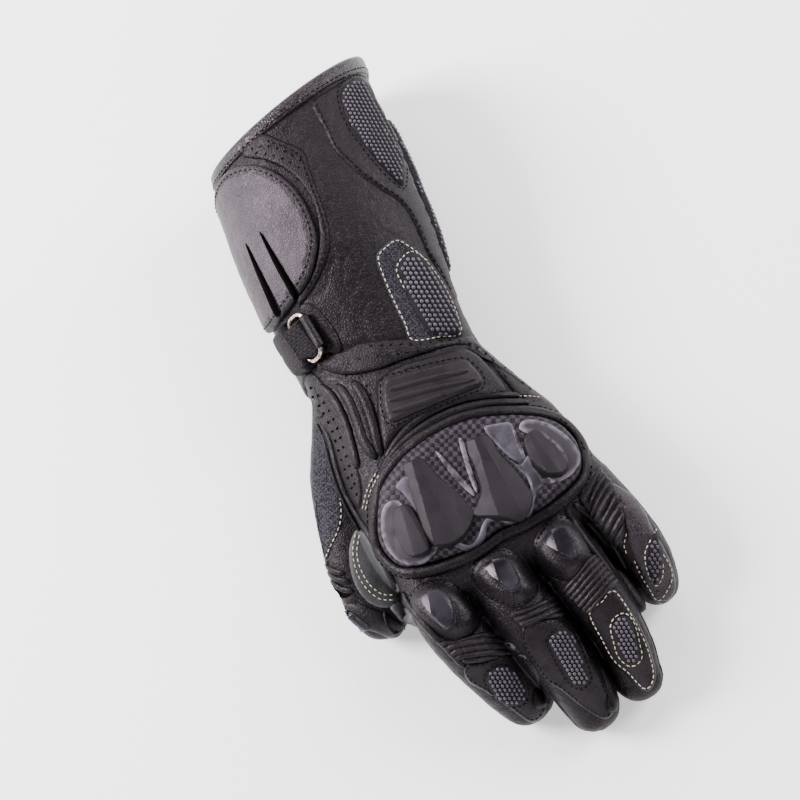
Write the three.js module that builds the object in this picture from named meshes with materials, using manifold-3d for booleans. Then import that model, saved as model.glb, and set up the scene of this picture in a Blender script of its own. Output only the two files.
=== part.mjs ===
// A left-hand motorcycle race glove with a long gauntlet, lying palm down on a flat surface.
// Millimetres. +Z is up, +X points to the little finger's side, +Y to the cuff's mouth and -Y to
// the fingertips.
import * as THREE from "three";
import { mergeVertices } from "three/addons/utils/BufferGeometryUtils.js";
import Module from "manifold-3d";

const wasm = await Module();
wasm.setup();

// Driving dimensions
const WALL = 2; // leather with its lining
const GAP = 0.3; // between pieces that are sewn or seated together
const OVERRUN = 5; // how far a cutting solid runs past what it cuts
const SOLE = 1.5; // how high the shell's flattened underside lies, on its overlays and binding
const HEM_Y = 138.5; // the cuff's mouth
const WRIST_Y = 12; // the seam where the hand meets the gauntlet
const KNUCKLE_Y = -101; // the blunt end of the hand, between the fingers
const TRUNK_SIDES = 24;
const TRUNK_LINING_SIDES = 14;
const FINGER_SIDES = 10;
const FINGER_LINING_SIDES = 8;
const FINGER_STEPS = 6;
const FINGER_POWER = 2.5; // squares the fingers' sections

// The hand and the gauntlet: upright sections along Y. half and rise are half the width and height of
// each section, slant moves the little finger's side towards the cuff, bow moves the top towards the
// fingers, power squares the section, and seam is the height of the line where the black back meets the
// grey palm.
const TRUNK = rows(["y", "x", "half", "z", "rise", "slant", "bow", "power", "seam"], [
  [-103, 16, 28, 33, 8, 3, 0, 2.4, 27],
  [-97, 16, 44, 33, 16, 3, 0, 2.5, 25.5],
  [-83, 14.2, 52.8, 31.5, 21.5, 3, 0, 2.6, 22.5],
  [-64, 12.4, 54, 29.8, 25, 2, 0, 2.6, 18.5],
  [-44, 10.7, 51.3, 28.6, 27.3, 1, 0, 2.5, 16],
  [-22, 7.8, 46.1, 28, 28.6, -2, 0, 2.4, 15],
  [-4, 5.3, 42.3, 28, 29, -5, 0, 2.3, 14],
  [12, 3.5, 40.5, 28.5, 29.5, -8, 0, 2.2, 14],
  [32, 3, 41.6, 29.7, 32.3, -6, 0, 2.2, 14],
  [60, 4.8, 44.3, 32, 36, -1, 0, 2.2, 14],
  [90, 6.7, 45, 33.8, 37.4, 4.5, 1.5, 2.1, 14],
  [118, 8.2, 44.3, 34.2, 37.5, 8.3, 5, 2, 14],
  [145, 11, 43.6, 34.5, 37.3, 11.5, 7.8, 2, 14],
]);

// Fingers and thumb: the centre of each joint with half the width and depth there, from the knuckle to
// the tip. roll turns the line between back and palm about the finger.
const JOINT = ["x", "y", "z", "wide", "deep"];
const DIGITS = {
  index: {
    roll: 0,
    joints: rows(JOINT, [
      [-24, -82, 33, 13.6, 14],
      [-23.5, -112, 35.5, 13.6, 13.4],
      [-15.5, -138, 24, 12.8, 12.2],
      [-8.2, -154.5, 11.5, 12, 10.4],
    ]),
  },
  middle: {
    roll: 0,
    joints: rows(JOINT, [
      [4.5, -86, 34, 14, 14.4],
      [7.2, -118, 36.5, 14.2, 13.6],
      [14, -151, 24, 12.8, 12.2],
      [18, -171, 11.5, 11.2, 10.4],
    ]),
  },
  ring: {
    roll: 0,
    joints: rows(JOINT, [
      [32.5, -84, 33, 13.4, 14],
      [37.5, -114, 35.5, 13.8, 13.2],
      [42.5, -147, 23.5, 12, 12],
      [41.8, -168, 11.5, 10.6, 10.4],
    ]),
  },
  little: {
    roll: 0,
    joints: rows(JOINT, [
      [56, -70, 30, 10.8, 13.5],
      [63.4, -98, 31, 11.8, 12.6],
      [68, -120, 21, 11.2, 11.2],
      [68.2, -133, 11, 9.9, 10],
    ]),
  },
  thumb: {
    roll: 0.93,
    joints: rows(JOINT, [
      [-22, 2, 26, 17, 16],
      [-41.2, -34, 21, 15.6, 15.4],
      [-51.2, -68, 17, 13.3, 13.6],
      [-50, -91, 12.5, 12.4, 11.2],
    ]),
  },
};

// Rows of plain numbers become objects with named columns.
function rows(columns, values) {
  return values.map((row) => Object.fromEntries(columns.map((name, i) => [name, row[i]])));
}

// A table's values at one place along its key, on a smooth curve through the rows.
function rowAt(table, key, at) {
  const i = Math.min(Math.max(table.findIndex((row) => row[key] >= at), 1), table.length - 1);
  const [before, a, b, after] = [i - 2, i - 1, i, i + 1].map(
    (k) => table[Math.min(Math.max(k, 0), table.length - 1)],
  );
  const span = b[key] - a[key];
  const t = (at - a[key]) / span;
  const value = (name) => {
    const slopeA = ((b[name] - before[name]) / (b[key] - before[key])) * span;
    const slopeB = ((after[name] - a[name]) / (after[key] - a[key])) * span;
    return (
      (2 * t ** 3 - 3 * t ** 2 + 1) * a[name] +
      (t ** 3 - 2 * t ** 2 + t) * slopeA +
      (3 * t ** 2 - 2 * t ** 3) * b[name] +
      (t ** 3 - t ** 2) * slopeB
    );
  };
  return Object.fromEntries(Object.keys(a).map((name) => [name, name === key ? at : value(name)]));
}

// A closed solid through rings of points, with a fan across each end to its middle or to a point that is given.
function loft(rings, ends = []) {
  const sides = rings[0].length;
  const points = rings.flat();
  const faces = [];
  for (let r = 0; r + 1 < rings.length; r++) {
    for (let k = 0; k < sides; k++) {
      const [a, b] = [r * sides + k, r * sides + ((k + 1) % sides)];
      faces.push(a, b, b + sides, a, b + sides, a + sides);
    }
  }
  for (const [r, turn, end] of [[0, false, ends[0]], [rings.length - 1, true, ends[1]]]) {
    const middle = new THREE.Vector3();
    rings[r].forEach((p) => middle.addScaledVector(p, 1 / sides));
    points.push(end ?? middle);
    for (let k = 0; k < sides; k++) {
      const [a, b] = [r * sides + k, r * sides + ((k + 1) % sides)];
      faces.push(points.length - 1, ...(turn ? [a, b] : [b, a]));
    }
  }
  const geometry = new THREE.BufferGeometry().setFromPoints(points);
  geometry.setIndex(faces);
  return solidOf(geometry);
}

// A closed geometry as a solid that can be joined and cut, with its faces turned out.
function solidOf(geometry) {
  const bare = geometry.clone();
  ["normal", "uv"].forEach((name) => bare.deleteAttribute(name));
  const merged = mergeVertices(bare, 1e-4);
  const make = (triangles) =>
    new wasm.Manifold(
      new wasm.Mesh({
        numProp: 3,
        vertProperties: merged.attributes.position.array,
        triVerts: new Uint32Array(triangles),
      }),
    );
  const made = make(merged.index.array);
  return made.volume() > 0 ? made : make([...merged.index.array].reverse());
}

const joined = (solids) => solids.reduce((a, b) => a.add(b));

// The largest body of a cut solid, without the slivers that the cut leaves.
const largest = (solid) => solid.decompose().reduce((a, b) => (a.volume() > b.volume() ? a : b));

const signedPower = (value, power) => Math.sign(value) * Math.abs(value) ** power;

// One section of the hand or gauntlet, grown outwards by grow and flattened where it rests.
function trunkRing(y, grow, sides) {
  const row = rowAt(TRUNK, "y", y);
  return Array.from({ length: sides }, (_, k) => {
    const angle = (2 * Math.PI * k) / sides;
    const across = signedPower(Math.cos(angle), 2 / row.power);
    const up = signedPower(Math.sin(angle), 2 / row.power);
    return new THREE.Vector3(
      row.x + (row.half + grow) * across,
      y + row.slant * across - row.bow * Math.max(up, 0),
      Math.max(row.z + (row.rise + grow) * up, SOLE - grow),
    );
  });
}

function trunk(grow, from, to, sides = TRUNK_SIDES) {
  const between = TRUNK.map((row) => row.y).filter((y) => y > from + 2 && y < to - 2);
  return loft([from, ...between, to].map((y) => trunkRing(y, grow, sides)));
}

// Everything below the seam, as a block that follows the seam's height along the hand.
const SEAM_BLOCK = { reach: 120, depth: 30 };

function belowSeam(lift) {
  const { reach, depth } = SEAM_BLOCK;
  return loft(
    TRUNK.map(({ y, seam }, i) => {
      const at = i === 0 ? y - reach : i === TRUNK.length - 1 ? y + reach : y;
      const top = seam + lift;
      return [[-reach, -depth], [reach, -depth], [reach, top], [-reach, top]].map(
        ([x, z]) => new THREE.Vector3(x, at, z),
      );
    }),
  );
}

// Places along a finger, from its knuckle to its tip, each with its own cross direction and up direction.
function stations({ joints }, steps) {
  const curve = new THREE.CatmullRomCurve3(joints.map((j) => new THREE.Vector3(j.x, j.y, j.z)));
  const numbered = joints.map((j, i) => ({ ...j, step: i }));
  return Array.from({ length: steps + 1 }, (_, i) => {
    const t = i / steps;
    const along = curve.getTangent(t);
    const side = new THREE.Vector3().crossVectors(new THREE.Vector3(0, 0, 1), along).normalize();
    const up = new THREE.Vector3().crossVectors(along, side);
    const { wide, deep } = rowAt(numbered, "step", t * (joints.length - 1));
    return { centre: curve.getPoint(t), along, side, up, wide, deep };
  });
}

// A finger's solid with a round tip, grown outwards by grow and flattened where it rests.
const TIP_DOME = [38, 68]; // degrees

function finger(digit, grow, sides = FINGER_SIDES, steps = FINGER_STEPS) {
  const places = stations(digit, steps);
  const tip = places.at(-1);
  const domes = TIP_DOME.map((degrees) => {
    const turn = THREE.MathUtils.degToRad(degrees);
    const reach = (tip.wide + grow) * Math.sin(turn);
    return {
      ...tip,
      centre: tip.centre.clone().addScaledVector(tip.along, reach),
      shrink: Math.cos(turn),
    };
  });
  return loft(
    [...places, ...domes].map(({ centre, side, up, wide, deep, shrink = 1 }) =>
      Array.from({ length: sides }, (_, k) => {
        const angle = (2 * Math.PI * (k + 0.5)) / sides;
        const across = signedPower(Math.cos(angle), 2 / FINGER_POWER);
        const over = signedPower(Math.sin(angle), 2 / FINGER_POWER);
        const point = centre
          .clone()
          .addScaledVector(side, (wide + grow) * shrink * across)
          .addScaledVector(up, (deep + grow) * shrink * over);
        point.z = Math.max(point.z, SOLE - grow);
        return point;
      }),
    ),
  );
}

// The palm's half of a finger, as a block swept along it.
const PALM_BLOCK = 24;

function palmSide(digit, lift) {
  const reach = PALM_BLOCK;
  const places = stations(digit, FINGER_STEPS);
  const [root, tip] = [places[0], places.at(-1)];
  const before = { ...root, centre: root.centre.clone().addScaledVector(root.along, -reach) };
  const after = { ...tip, centre: tip.centre.clone().addScaledVector(tip.along, reach) };
  return loft(
    [before, ...places, after].map(({ centre, along, side, up }) => {
      const [s, u] = [side, up].map((axis) => axis.clone().applyAxisAngle(along, digit.roll));
      return [[-reach, -reach], [reach, -reach], [reach, lift], [-reach, lift]].map(([a, b]) =>
        centre.clone().addScaledVector(s, a).addScaledVector(u, b),
      );
    }),
  );
}

const digits = Object.entries(DIGITS);
const linings = joined(
  digits.map(([, digit]) => finger(digit, -WALL, FINGER_LINING_SIDES, FINGER_STEPS / 2)),
);

// Lines of sight onto the glove. From above and below u is x, around the gauntlet u is an angle in
// degrees that is 0 at the little finger's side and 90 at the top, and v is always y.
const FAR = 200;
const AXIS = { x: 5, z: 32 };
const SIGHTS = {
  above: (u, v) => [new THREE.Vector3(u, v, FAR), new THREE.Vector3(0, 0, 1)],
  below: (u, v) => [new THREE.Vector3(u, v, -FAR), new THREE.Vector3(0, 0, -1)],
  around: (u, v) => {
    const angle = THREE.MathUtils.degToRad(u);
    const out = new THREE.Vector3(Math.cos(angle), 0, Math.sin(angle));
    return [new THREE.Vector3(AXIS.x, v, AXIS.z).addScaledVector(out, FAR), out];
  },
};
const DEGREE = 0.75; // the millimetres of one degree around the gauntlet
const SLACK = 1.3; // widens the room round a plate a little more than its gap, for its slanting edges

// What pieces are laid on, and the room that is taken, with its gap.
const ground = {};

function lay(solid, room) {
  const body = ground.body ? ground.body.add(solid) : solid;
  const geometry = meshOf(body);
  ground.body = body;
  ground.mesh = new THREE.Mesh(geometry, new THREE.MeshBasicMaterial());
  ground.room = ground.room ? ground.room.add(room) : room;
}

// The point at a height over what is laid there already.
function over(view, u, v, height) {
  const [from, out] = SIGHTS[view](u, v);
  const [hit] = new THREE.Raycaster(from, out.clone().negate()).intersectObject(ground.mesh);
  return hit.point.clone().addScaledVector(out, height);
}

const ROOT = 3; // how deep a piece reaches before it is cut to what it lies on

// A pad or plate on the glove: its outline, and rings inside it that lie a share of the way to its
// middle, each with its height. grow widens and thickens it all round.
function plate(view, outline, rings, grow = 0) {
  const middle = ["u", "v"].map((k) => outline.reduce((sum, p) => sum + p[k], 0) / outline.length);
  const halves = ["u", "v"].map((k) => {
    const values = outline.map((p) => p[k]);
    return (Math.max(...values) - Math.min(...values)) / 2;
  });
  const half = Math.min(halves[0] * (view === "around" ? DEGREE : 1), halves[1]);
  const wider = 1 + (SLACK * grow) / half;
  const ring = ({ share, height }) =>
    outline.map(({ u, v }) => {
      const [a, b] = [u - middle[0], v - middle[1]].map((d) => d * wider * (1 - share));
      return over(view, middle[0] + a, middle[1] + b, height);
    });
  const raised = rings.map(({ share, height }) => ({ share, height: height + grow }));
  const top = raised.at(-1).height;
  return loft(
    [ring({ share: 0, height: -ROOT }), ...raised.map(ring)],
    [over(view, ...middle, -ROOT), over(view, ...middle, top)],
  );
}

// A row of ribs across a four-cornered patch, between a low and a high height.
function ribs(view, corners, count, low, high, grow = 0) {
  const [a, b, c, d] = corners;
  const between = (p, q, t) => [p.u + (q.u - p.u) * t, p.v + (q.v - p.v) * t];
  return loft(
    Array.from({ length: 2 * count + 1 }, (_, i) => {
      const t = i / (2 * count);
      const [left, right] = [between(a, d, t), between(b, c, t)];
      const centre = [(left[0] + right[0]) / 2, (left[1] + right[1]) / 2];
      const height = (i % 2 ? high : low) + grow;
      return [
        over(view, ...left, -ROOT),
        over(view, ...right, -ROOT),
        over(view, ...right, height),
        over(view, ...centre, height),
        over(view, ...left, height),
      ];
    }),
  );
}

// The section of a roll: shares of its radius across the glove and up from it.
const ROLL = { steps: 7, ends: 0.45, sunk: 0.3 };
const ROLL_SECTION = rows(["across", "up"], [[-1, 0], [-0.75, 0.7], [0, 1], [0.75, 0.7], [1, 0], [0, -1]]);

// A stuffed roll of leather along a path, thinner at its ends.
function roll(view, path, radius, grow = 0) {
  const curve = new THREE.CatmullRomCurve3(path.map(({ u, v }) => new THREE.Vector3(u, v, 0)));
  const { steps, ends, sunk } = ROLL;
  const places = Array.from({ length: steps + 1 }, (_, i) => {
    const { x, y } = curve.getPoint(i / steps);
    const size = (radius + grow) * (ends + (1 - ends) * Math.sin((Math.PI * i) / steps));
    return { at: over(view, x, y, radius * sunk), out: SIGHTS[view](x, y)[1], size };
  });
  return loft(
    places.map(({ at, out, size }, i) => {
      const next = places[Math.min(i + 1, steps)].at;
      const along = next.clone().sub(places[Math.max(i - 1, 0)].at).normalize();
      const side = new THREE.Vector3().crossVectors(out, along).normalize();
      return ROLL_SECTION.map(({ across, up }) =>
        at.clone().addScaledVector(side, across * size).addScaledVector(out, up * size),
      );
    }),
  );
}

const LEATHER = { color: 0x2b282b, roughness: 0.55, metalness: 0 };
const PALM_LEATHER = { color: 0x5a5b59, roughness: 0.6, metalness: 0 };
const RUBBER = { color: 0x827b83, roughness: 0.5, metalness: 0 };
const MOULDED = { color: 0x38343b, roughness: 0.3, metalness: 0 };
const SMOKED = { color: 0x55505a, roughness: 0.25, metalness: 0 };
const BEADED = { color: 0x3a383c, roughness: 0.6, metalness: 0 };
const DENIM = { color: 0x3c3942, roughness: 0.9, metalness: 0 };
const METAL = { color: 0xb9a49c, roughness: 0.3, metalness: 1 };

const glove = new THREE.Group();

function meshOf(solid) {
  const { vertProperties, triVerts } = solid.getMesh();
  const geometry = new THREE.BufferGeometry();
  geometry.setAttribute("position", new THREE.BufferAttribute(vertProperties, 3));
  geometry.setIndex(new THREE.BufferAttribute(triVerts, 1));
  return geometry;
}

function addPiece(name, solid, finish) {
  const geometry = meshOf(largest(solid));
  geometry.computeVertexNormals();
  const mesh = new THREE.Mesh(geometry, new THREE.MeshStandardMaterial(finish));
  mesh.name = name;
  glove.add(mesh);
}

// A piece that lies on the others: make(grow) gives its shape. With carries, later pieces can lie on it.
function addOnTop(name, finish, make, carries = false) {
  const [solid, room] = [make(0), make(GAP)];
  addPiece(name, solid.subtract(ground.room), finish);
  if (carries) {
    lay(solid, room);
  } else {
    ground.room = ground.room.add(room);
  }
}

// The leather shell
const gauntlet = trunk(0, WRIST_Y, HEM_Y).subtract(
  trunk(-WALL, WRIST_Y - OVERRUN, HEM_Y + OVERRUN, TRUNK_LINING_SIDES),
);
addPiece("gauntlet_back", gauntlet.subtract(belowSeam(GAP / 2)), LEATHER);
addPiece("gauntlet_palm", gauntlet.intersect(belowSeam(-GAP / 2)), PALM_LEATHER);

const hand = trunk(0, KNUCKLE_Y, WRIST_Y - GAP)
  .subtract(trunk(-WALL, KNUCKLE_Y + WALL, WRIST_Y + OVERRUN, TRUNK_LINING_SIDES))
  .subtract(linings);
addPiece("hand_back", hand.subtract(belowSeam(GAP / 2)), LEATHER);
addPiece("hand_palm", hand.intersect(belowSeam(-GAP / 2)), PALM_LEATHER);

const handSpace = trunk(GAP, KNUCKLE_Y - GAP, WRIST_Y + OVERRUN);
for (const [name, digit] of digits) {
  const tube = finger(digit, 0)
    .subtract(finger(digit, -WALL, FINGER_LINING_SIDES, FINGER_STEPS / 2))
    .subtract(handSpace);
  addPiece(`${name}_back`, tube.subtract(palmSide(digit, GAP / 2)), LEATHER);
  addPiece(`${name}_palm`, tube.intersect(palmSide(digit, -GAP / 2)), PALM_LEATHER);
}

const whole = (grow) =>
  joined([trunk(grow, KNUCKLE_Y - grow, HEM_Y), ...digits.map(([, digit]) => finger(digit, grow))]);
lay(whole(0), whole(GAP));

// The binding folded over the cuff's mouth
const BINDING = { reach: 7, thick: 1.2 };
const bindingFrom = HEM_Y - BINDING.reach;
const outerGrow = GAP + BINDING.thick;
const innerGrow = -WALL - GAP - BINDING.thick;
const bindingOuter = trunk(outerGrow, bindingFrom, HEM_Y + outerGrow);
const bindingInner = trunk(innerGrow, bindingFrom - OVERRUN, HEM_Y + OVERRUN, TRUNK_LINING_SIDES);
const bindingRoom = trunk(GAP, bindingFrom - OVERRUN, HEM_Y + GAP).subtract(
  trunk(-WALL - GAP, bindingFrom - 2 * OVERRUN, HEM_Y + OVERRUN, TRUNK_LINING_SIDES),
);
addPiece("hem_binding", bindingOuter.subtract(bindingInner).subtract(bindingRoom), LEATHER);

// Outlines of what lies on the glove, in millimetres, or in degrees around the gauntlet
const POINT = ["u", "v"];
const RING = ["share", "height"];
const LOW = rows(RING, [[0, 1.5], [0.5, 1.5]]);
const EVEN = rows(RING, [[0, 1.5], [0.25, 1.5], [0.5, 1.5], [0.75, 1.5]]);
const PADDED = rows(RING, [[0, 1.2], [0.3, 3.2], [0.7, 3.8]]);
const CAP = rows(RING, [[0, 1.5], [0.28, 4.2], [0.62, 5]]);
const LOBE = rows(RING, [[0, 1.2], [0.35, 3.2], [0.7, 3.8]]);
const GUARD = rows(RING, [[0, 2.2], [0.12, 4.2], [0.45, 5], [0.75, 5.2]]);

const PLATES = {
  closure_flap: {
    view: "around",
    finish: RUBBER,
    rings: rows(RING, [[0, 1.8], [0.12, 3], [0.55, 3.2]]),
    outline: rows(POINT, [
      [121, 114], [108, 106], [99, 93], [97, 79], [101, 65], [114, 54], [132, 48], [158, 45],
      [184, 50], [193, 70], [193, 95], [181, 112], [160, 117], [140, 118],
    ]),
  },
  wrist_strap: {
    view: "around",
    finish: LEATHER,
    rings: LOW,
    outline: rows(POINT, [
      [146, 39], [146, 21], [165, 18], [185, 15], [200, 13], [200, 33], [182, 36], [165, 38],
    ]),
  },
  ring_loop: {
    view: "around",
    finish: LEATHER,
    rings: rows(RING, [[0, 1.8], [0.4, 2.4]]),
    outline: rows(POINT, [
      [128, 43], [138, 42], [137, 20], [127, 19], [124, 31],
    ]),
  },
  hem_bead_pad: {
    view: "around",
    finish: BEADED,
    rings: PADDED,
    outline: rows(POINT, [
      [45, 121], [33, 125], [19, 126.5], [13, 114], [17, 97], [26, 79], [34, 78], [43, 95], [49, 112],
    ]),
  },
  edge_bead_pad: {
    view: "around",
    finish: BEADED,
    rings: PADDED,
    outline: rows(POINT, [
      [-6, 121], [5, 112], [9, 92], [10, 72], [5, 50], [-7, 38], [-18, 45], [-23, 66],
      [-23, 96], [-17, 116],
    ]),
  },
  wrist_pad_border: {
    view: "above",
    finish: DENIM,
    rings: LOW,
    carries: true,
    outline: rows(POINT, [
      [29, 53], [35, 48], [41, 38], [43.5, 22], [42, 8], [30, 7], [18, 9], [17, 24], [19, 46],
    ]),
  },
  wrist_bead_pad: {
    view: "above",
    finish: BEADED,
    rings: PADDED,
    outline: rows(POINT, [
      [33, 44], [38.5, 37], [41, 22], [39, 10], [30, 10], [25.5, 20], [26, 38],
    ]),
  },
  badge_pad: {
    view: "above",
    finish: LEATHER,
    rings: rows(RING, [[0, 1.2], [0.15, 2.4], [0.5, 2.6]]),
    carries: true,
    outline: rows(POINT, [
      [-3, -1], [18, -5], [36, -10], [41, -25], [34, -28.5], [13, -28.5], [-9, -28], [-11, -22],
    ]),
  },
  wrist_badge: {
    view: "above",
    finish: MOULDED,
    rings: rows(RING, [[0, 1.2], [0.1, 1.8], [0.5, 1.8]]),
    outline: rows(POINT, [
      [-1, -4], [32, -11], [36, -22], [31, -24.5], [-6, -25.5], [-7, -22],
    ]),
  },
  knuckle_guard: {
    view: "above",
    finish: MOULDED,
    rings: GUARD,
    carries: true,
    outline: rows(POINT, [
      [-26, -55], [-16, -48], [-5, -44.5], [6, -42], [17, -41.5], [28, -42], [42, -45], [51, -50],
      [58, -58], [60.5, -68], [57, -78], [51, -84], [37, -87.5], [20, -90], [5, -92], [-8, -91.5],
      [-21, -89], [-30, -83], [-33, -74], [-32, -64],
    ]),
  },
  guard_lobe_index: {
    view: "above",
    finish: SMOKED,
    rings: LOBE,
    outline: rows(POINT, [
      [-24, -60], [-18, -61], [-15, -68], [-14, -79], [-17, -85], [-23, -86], [-28, -82], [-28, -70],
    ]),
  },
  guard_lobe_middle: {
    view: "above",
    finish: SMOKED,
    rings: LOBE,
    outline: rows(POINT, [
      [-3, -49], [3, -50], [7, -62], [11, -76], [9, -86], [1, -89], [-7, -86], [-9, -79], [-6, -63],
    ]),
  },
  guard_lobe_ring: {
    view: "above",
    finish: SMOKED,
    rings: LOBE,
    outline: rows(POINT, [
      [19, -48], [26, -48], [31, -60], [35.5, -74], [33, -84], [26, -87], [18, -84], [15, -77],
      [16, -62],
    ]),
  },
  guard_lobe_little: {
    view: "above",
    finish: SMOKED,
    rings: LOBE,
    outline: rows(POINT, [
      [42, -55], [48, -54], [54, -61], [55, -72], [50, -80], [43, -78], [39.5, -68],
    ]),
  },
  thumb_stretch_panel: {
    view: "above",
    finish: DENIM,
    rings: LOW,
    outline: rows(POINT, [
      [-40, -10], [-38, -17], [-41.5, -33], [-46, -50], [-54, -58], [-56.5, -47], [-52, -28],
      [-46, -13],
    ]),
  },
  web_patch: {
    view: "above",
    finish: PALM_LEATHER,
    rings: LOW,
    outline: rows(POINT, [
      [-44.5, -56], [-41.5, -64], [-40.5, -76], [-41, -87], [-45, -91], [-48.5, -85], [-50.5, -75],
      [-48.5, -63],
    ]),
  },
  thumb_cap: {
    view: "above",
    finish: MOULDED,
    rings: CAP,
    outline: rows(POINT, [
      [-57, -82], [-53.5, -82], [-52, -88], [-54.5, -95], [-57.5, -93.5], [-58.5, -88],
    ]),
  },
  palm_patch: {
    view: "below",
    finish: PALM_LEATHER,
    rings: EVEN,
    outline: rows(POINT, [
      [-22, -2], [-6, 3], [16, 2], [30, -4], [37, -20], [38, -40], [26, -54], [6, -57], [-11, -50],
      [-19, -28],
    ]),
  },
  index_grip_patch: {
    view: "below",
    finish: PALM_LEATHER,
    rings: LOW,
    outline: rows(POINT, [
      [-16, -137], [-10, -137], [-5, -146], [-4.5, -156], [-9, -160], [-14, -156], [-17, -147],
    ]),
  },
  middle_grip_patch: {
    view: "below",
    finish: PALM_LEATHER,
    rings: LOW,
    outline: rows(POINT, [
      [12, -151], [18, -152], [22, -162], [22, -172], [18, -176], [14, -171], [12, -161],
    ]),
  },
};

// The padded surround and hard cap over each finger's first joint, and the beaded pad on its tip
const CAPS = rows(["digit", "u", "v"], [
  ["index", -25.5, -107],
  ["middle", 7, -107],
  ["ring", 36.5, -105.5],
]);
const CAP_PAD_SIZE = { half: 10, long: 12 };
const CAP_SIZE = { half: 6.2, long: 8 };
const SOFT = rows(RING, [[0, 1.3], [0.35, 2.4]]);
const HARD = rows(RING, [[0, 1.4], [0.35, 3.4]]);
const TIPS = rows(["digit", "u", "v", "half", "long", "turn"], [
  ["index", -12.5, -147, 5.2, 8.5, 12],
  ["middle", 16.5, -149, 6, 12, 10],
  ["ring", 44, -151, 5, 10, -4],
  ["little", 69.2, -126, 4, 8.5, -2],
]);

// An egg-shaped outline, narrower towards the fingertip.
const NARROWING = 0.2;
const EGG_SIDES = 10;
const CAP_SIDES = 8;

function egg({ u, v, half, long, turn = 0 }, sides) {
  return Array.from({ length: sides }, (_, k) => {
    const angle = (2 * Math.PI * k) / sides;
    const narrow = 1 + NARROWING * Math.sin(angle);
    const point = new THREE.Vector2(half * narrow * Math.cos(angle), long * Math.sin(angle));
    point.rotateAround(new THREE.Vector2(), THREE.MathUtils.degToRad(turn));
    return { u: u + point.x, v: v + point.y };
  });
}

// The stretch ribs behind each fingertip, and the soft welts of the hand
const RIB = { low: 1.5, high: 2.8 };
const STRETCH = {
  index: { count: 3, corners: rows(POINT, [[-31, -120], [-12, -118.5], [-9, -130], [-26, -132]]) },
  middle: { count: 3, corners: rows(POINT, [[-3, -120.5], [16, -119], [18, -132], [3, -134]]) },
  ring: { count: 4, corners: rows(POINT, [[28, -116], [46, -114.5], [49, -132], [33, -134]]) },
  little: { count: 5, corners: rows(POINT, [[56.5, -84], [70, -83], [73, -107], [60.5, -111]]) },
};
const WELTS = {
  ridge: {
    radius: 2.6,
    paths: [
      rows(POINT, [[-27, -4], [-25, -17], [-26, -30], [-29, -42]]),
      rows(POINT, [[-21.5, -5], [-19.5, -17], [-20, -29], [-21.5, -40]]),
      rows(POINT, [[-16, -6], [-14, -17], [-13.5, -27], [-14.5, -36]]),
    ],
  },
  guard_welt: {
    radius: 2.4,
    paths: [
      rows(POINT, [[-31, -54], [-12, -40.5], [9, -37], [30, -37.5], [52, -44]]),
      rows(POINT, [[-12, -34.5], [9, -32], [30, -32.5], [50, -38]]),
    ],
  },
};

for (const [name, { view, finish, rings, outline, carries }] of Object.entries(PLATES)) {
  addOnTop(name, finish, (grow) => plate(view, outline, rings, grow), carries);
}
for (const place of CAPS) {
  const pad = egg({ ...place, ...CAP_PAD_SIZE }, EGG_SIDES);
  addOnTop(`${place.digit}_cap_pad`, LEATHER, (grow) => plate("above", pad, SOFT, grow), true);
  const cap = egg({ ...place, ...CAP_SIZE }, CAP_SIDES);
  addOnTop(`${place.digit}_cap`, MOULDED, (grow) => plate("above", cap, HARD, grow));
}
for (const tip of TIPS) {
  const pad = egg(tip, EGG_SIDES);
  addOnTop(`${tip.digit}_tip_pad`, BEADED, (grow) => plate("above", pad, SOFT, grow));
}
for (const [digit, { corners, count }] of Object.entries(STRETCH)) {
  const shape = (grow) => ribs("above", corners, count, RIB.low, RIB.high, grow);
  addOnTop(`${digit}_stretch_ribs`, LEATHER, shape);
}
for (const [name, { radius, paths }] of Object.entries(WELTS)) {
  paths.forEach((path, i) => {
    addOnTop(`${name}_${i + 1}`, LEATHER, (grow) => roll("above", path, radius, grow));
  });
}

// The metal loop that the wrist strap passes through, flattened to an oval that leans with the cuff
const STRAP_RING = {
  angle: 142,
  along: 30.5,
  lift: 3.9,
  radius: 11,
  flat: 0.55,
  wire: 1.1,
  wireSides: 5,
  steps: 14,
  lean: 134,
  pitch: 6,
};

function strapRing({ angle, along, lift, radius, flat, wire, wireSides, steps, lean, pitch }) {
  const geometry = new THREE.TorusGeometry(radius, wire, wireSides, steps);
  geometry.scale(flat, 1, 1);
  geometry.rotateX(THREE.MathUtils.degToRad(pitch));
  geometry.rotateY(THREE.MathUtils.degToRad(90 - lean));
  const { x, y, z } = over("around", angle, along, lift);
  return solidOf(geometry.translate(x, y, z));
}
addPiece("strap_ring", strapRing(STRAP_RING), METAL);

// The origin is under the middle of the glove, on what it lies on.
const box = new THREE.Box3().setFromObject(glove);
const centre = box.getCenter(new THREE.Vector3());
glove.position.set(-centre.x, -centre.y, -box.min.z);

export default glove;
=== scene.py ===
import math

import bpy
import numpy as np
from mathutils import Matrix, Vector, noise
from mathutils.bvhtree import BVHTree
from mathutils.geometry import delaunay_2d_cdt


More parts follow.
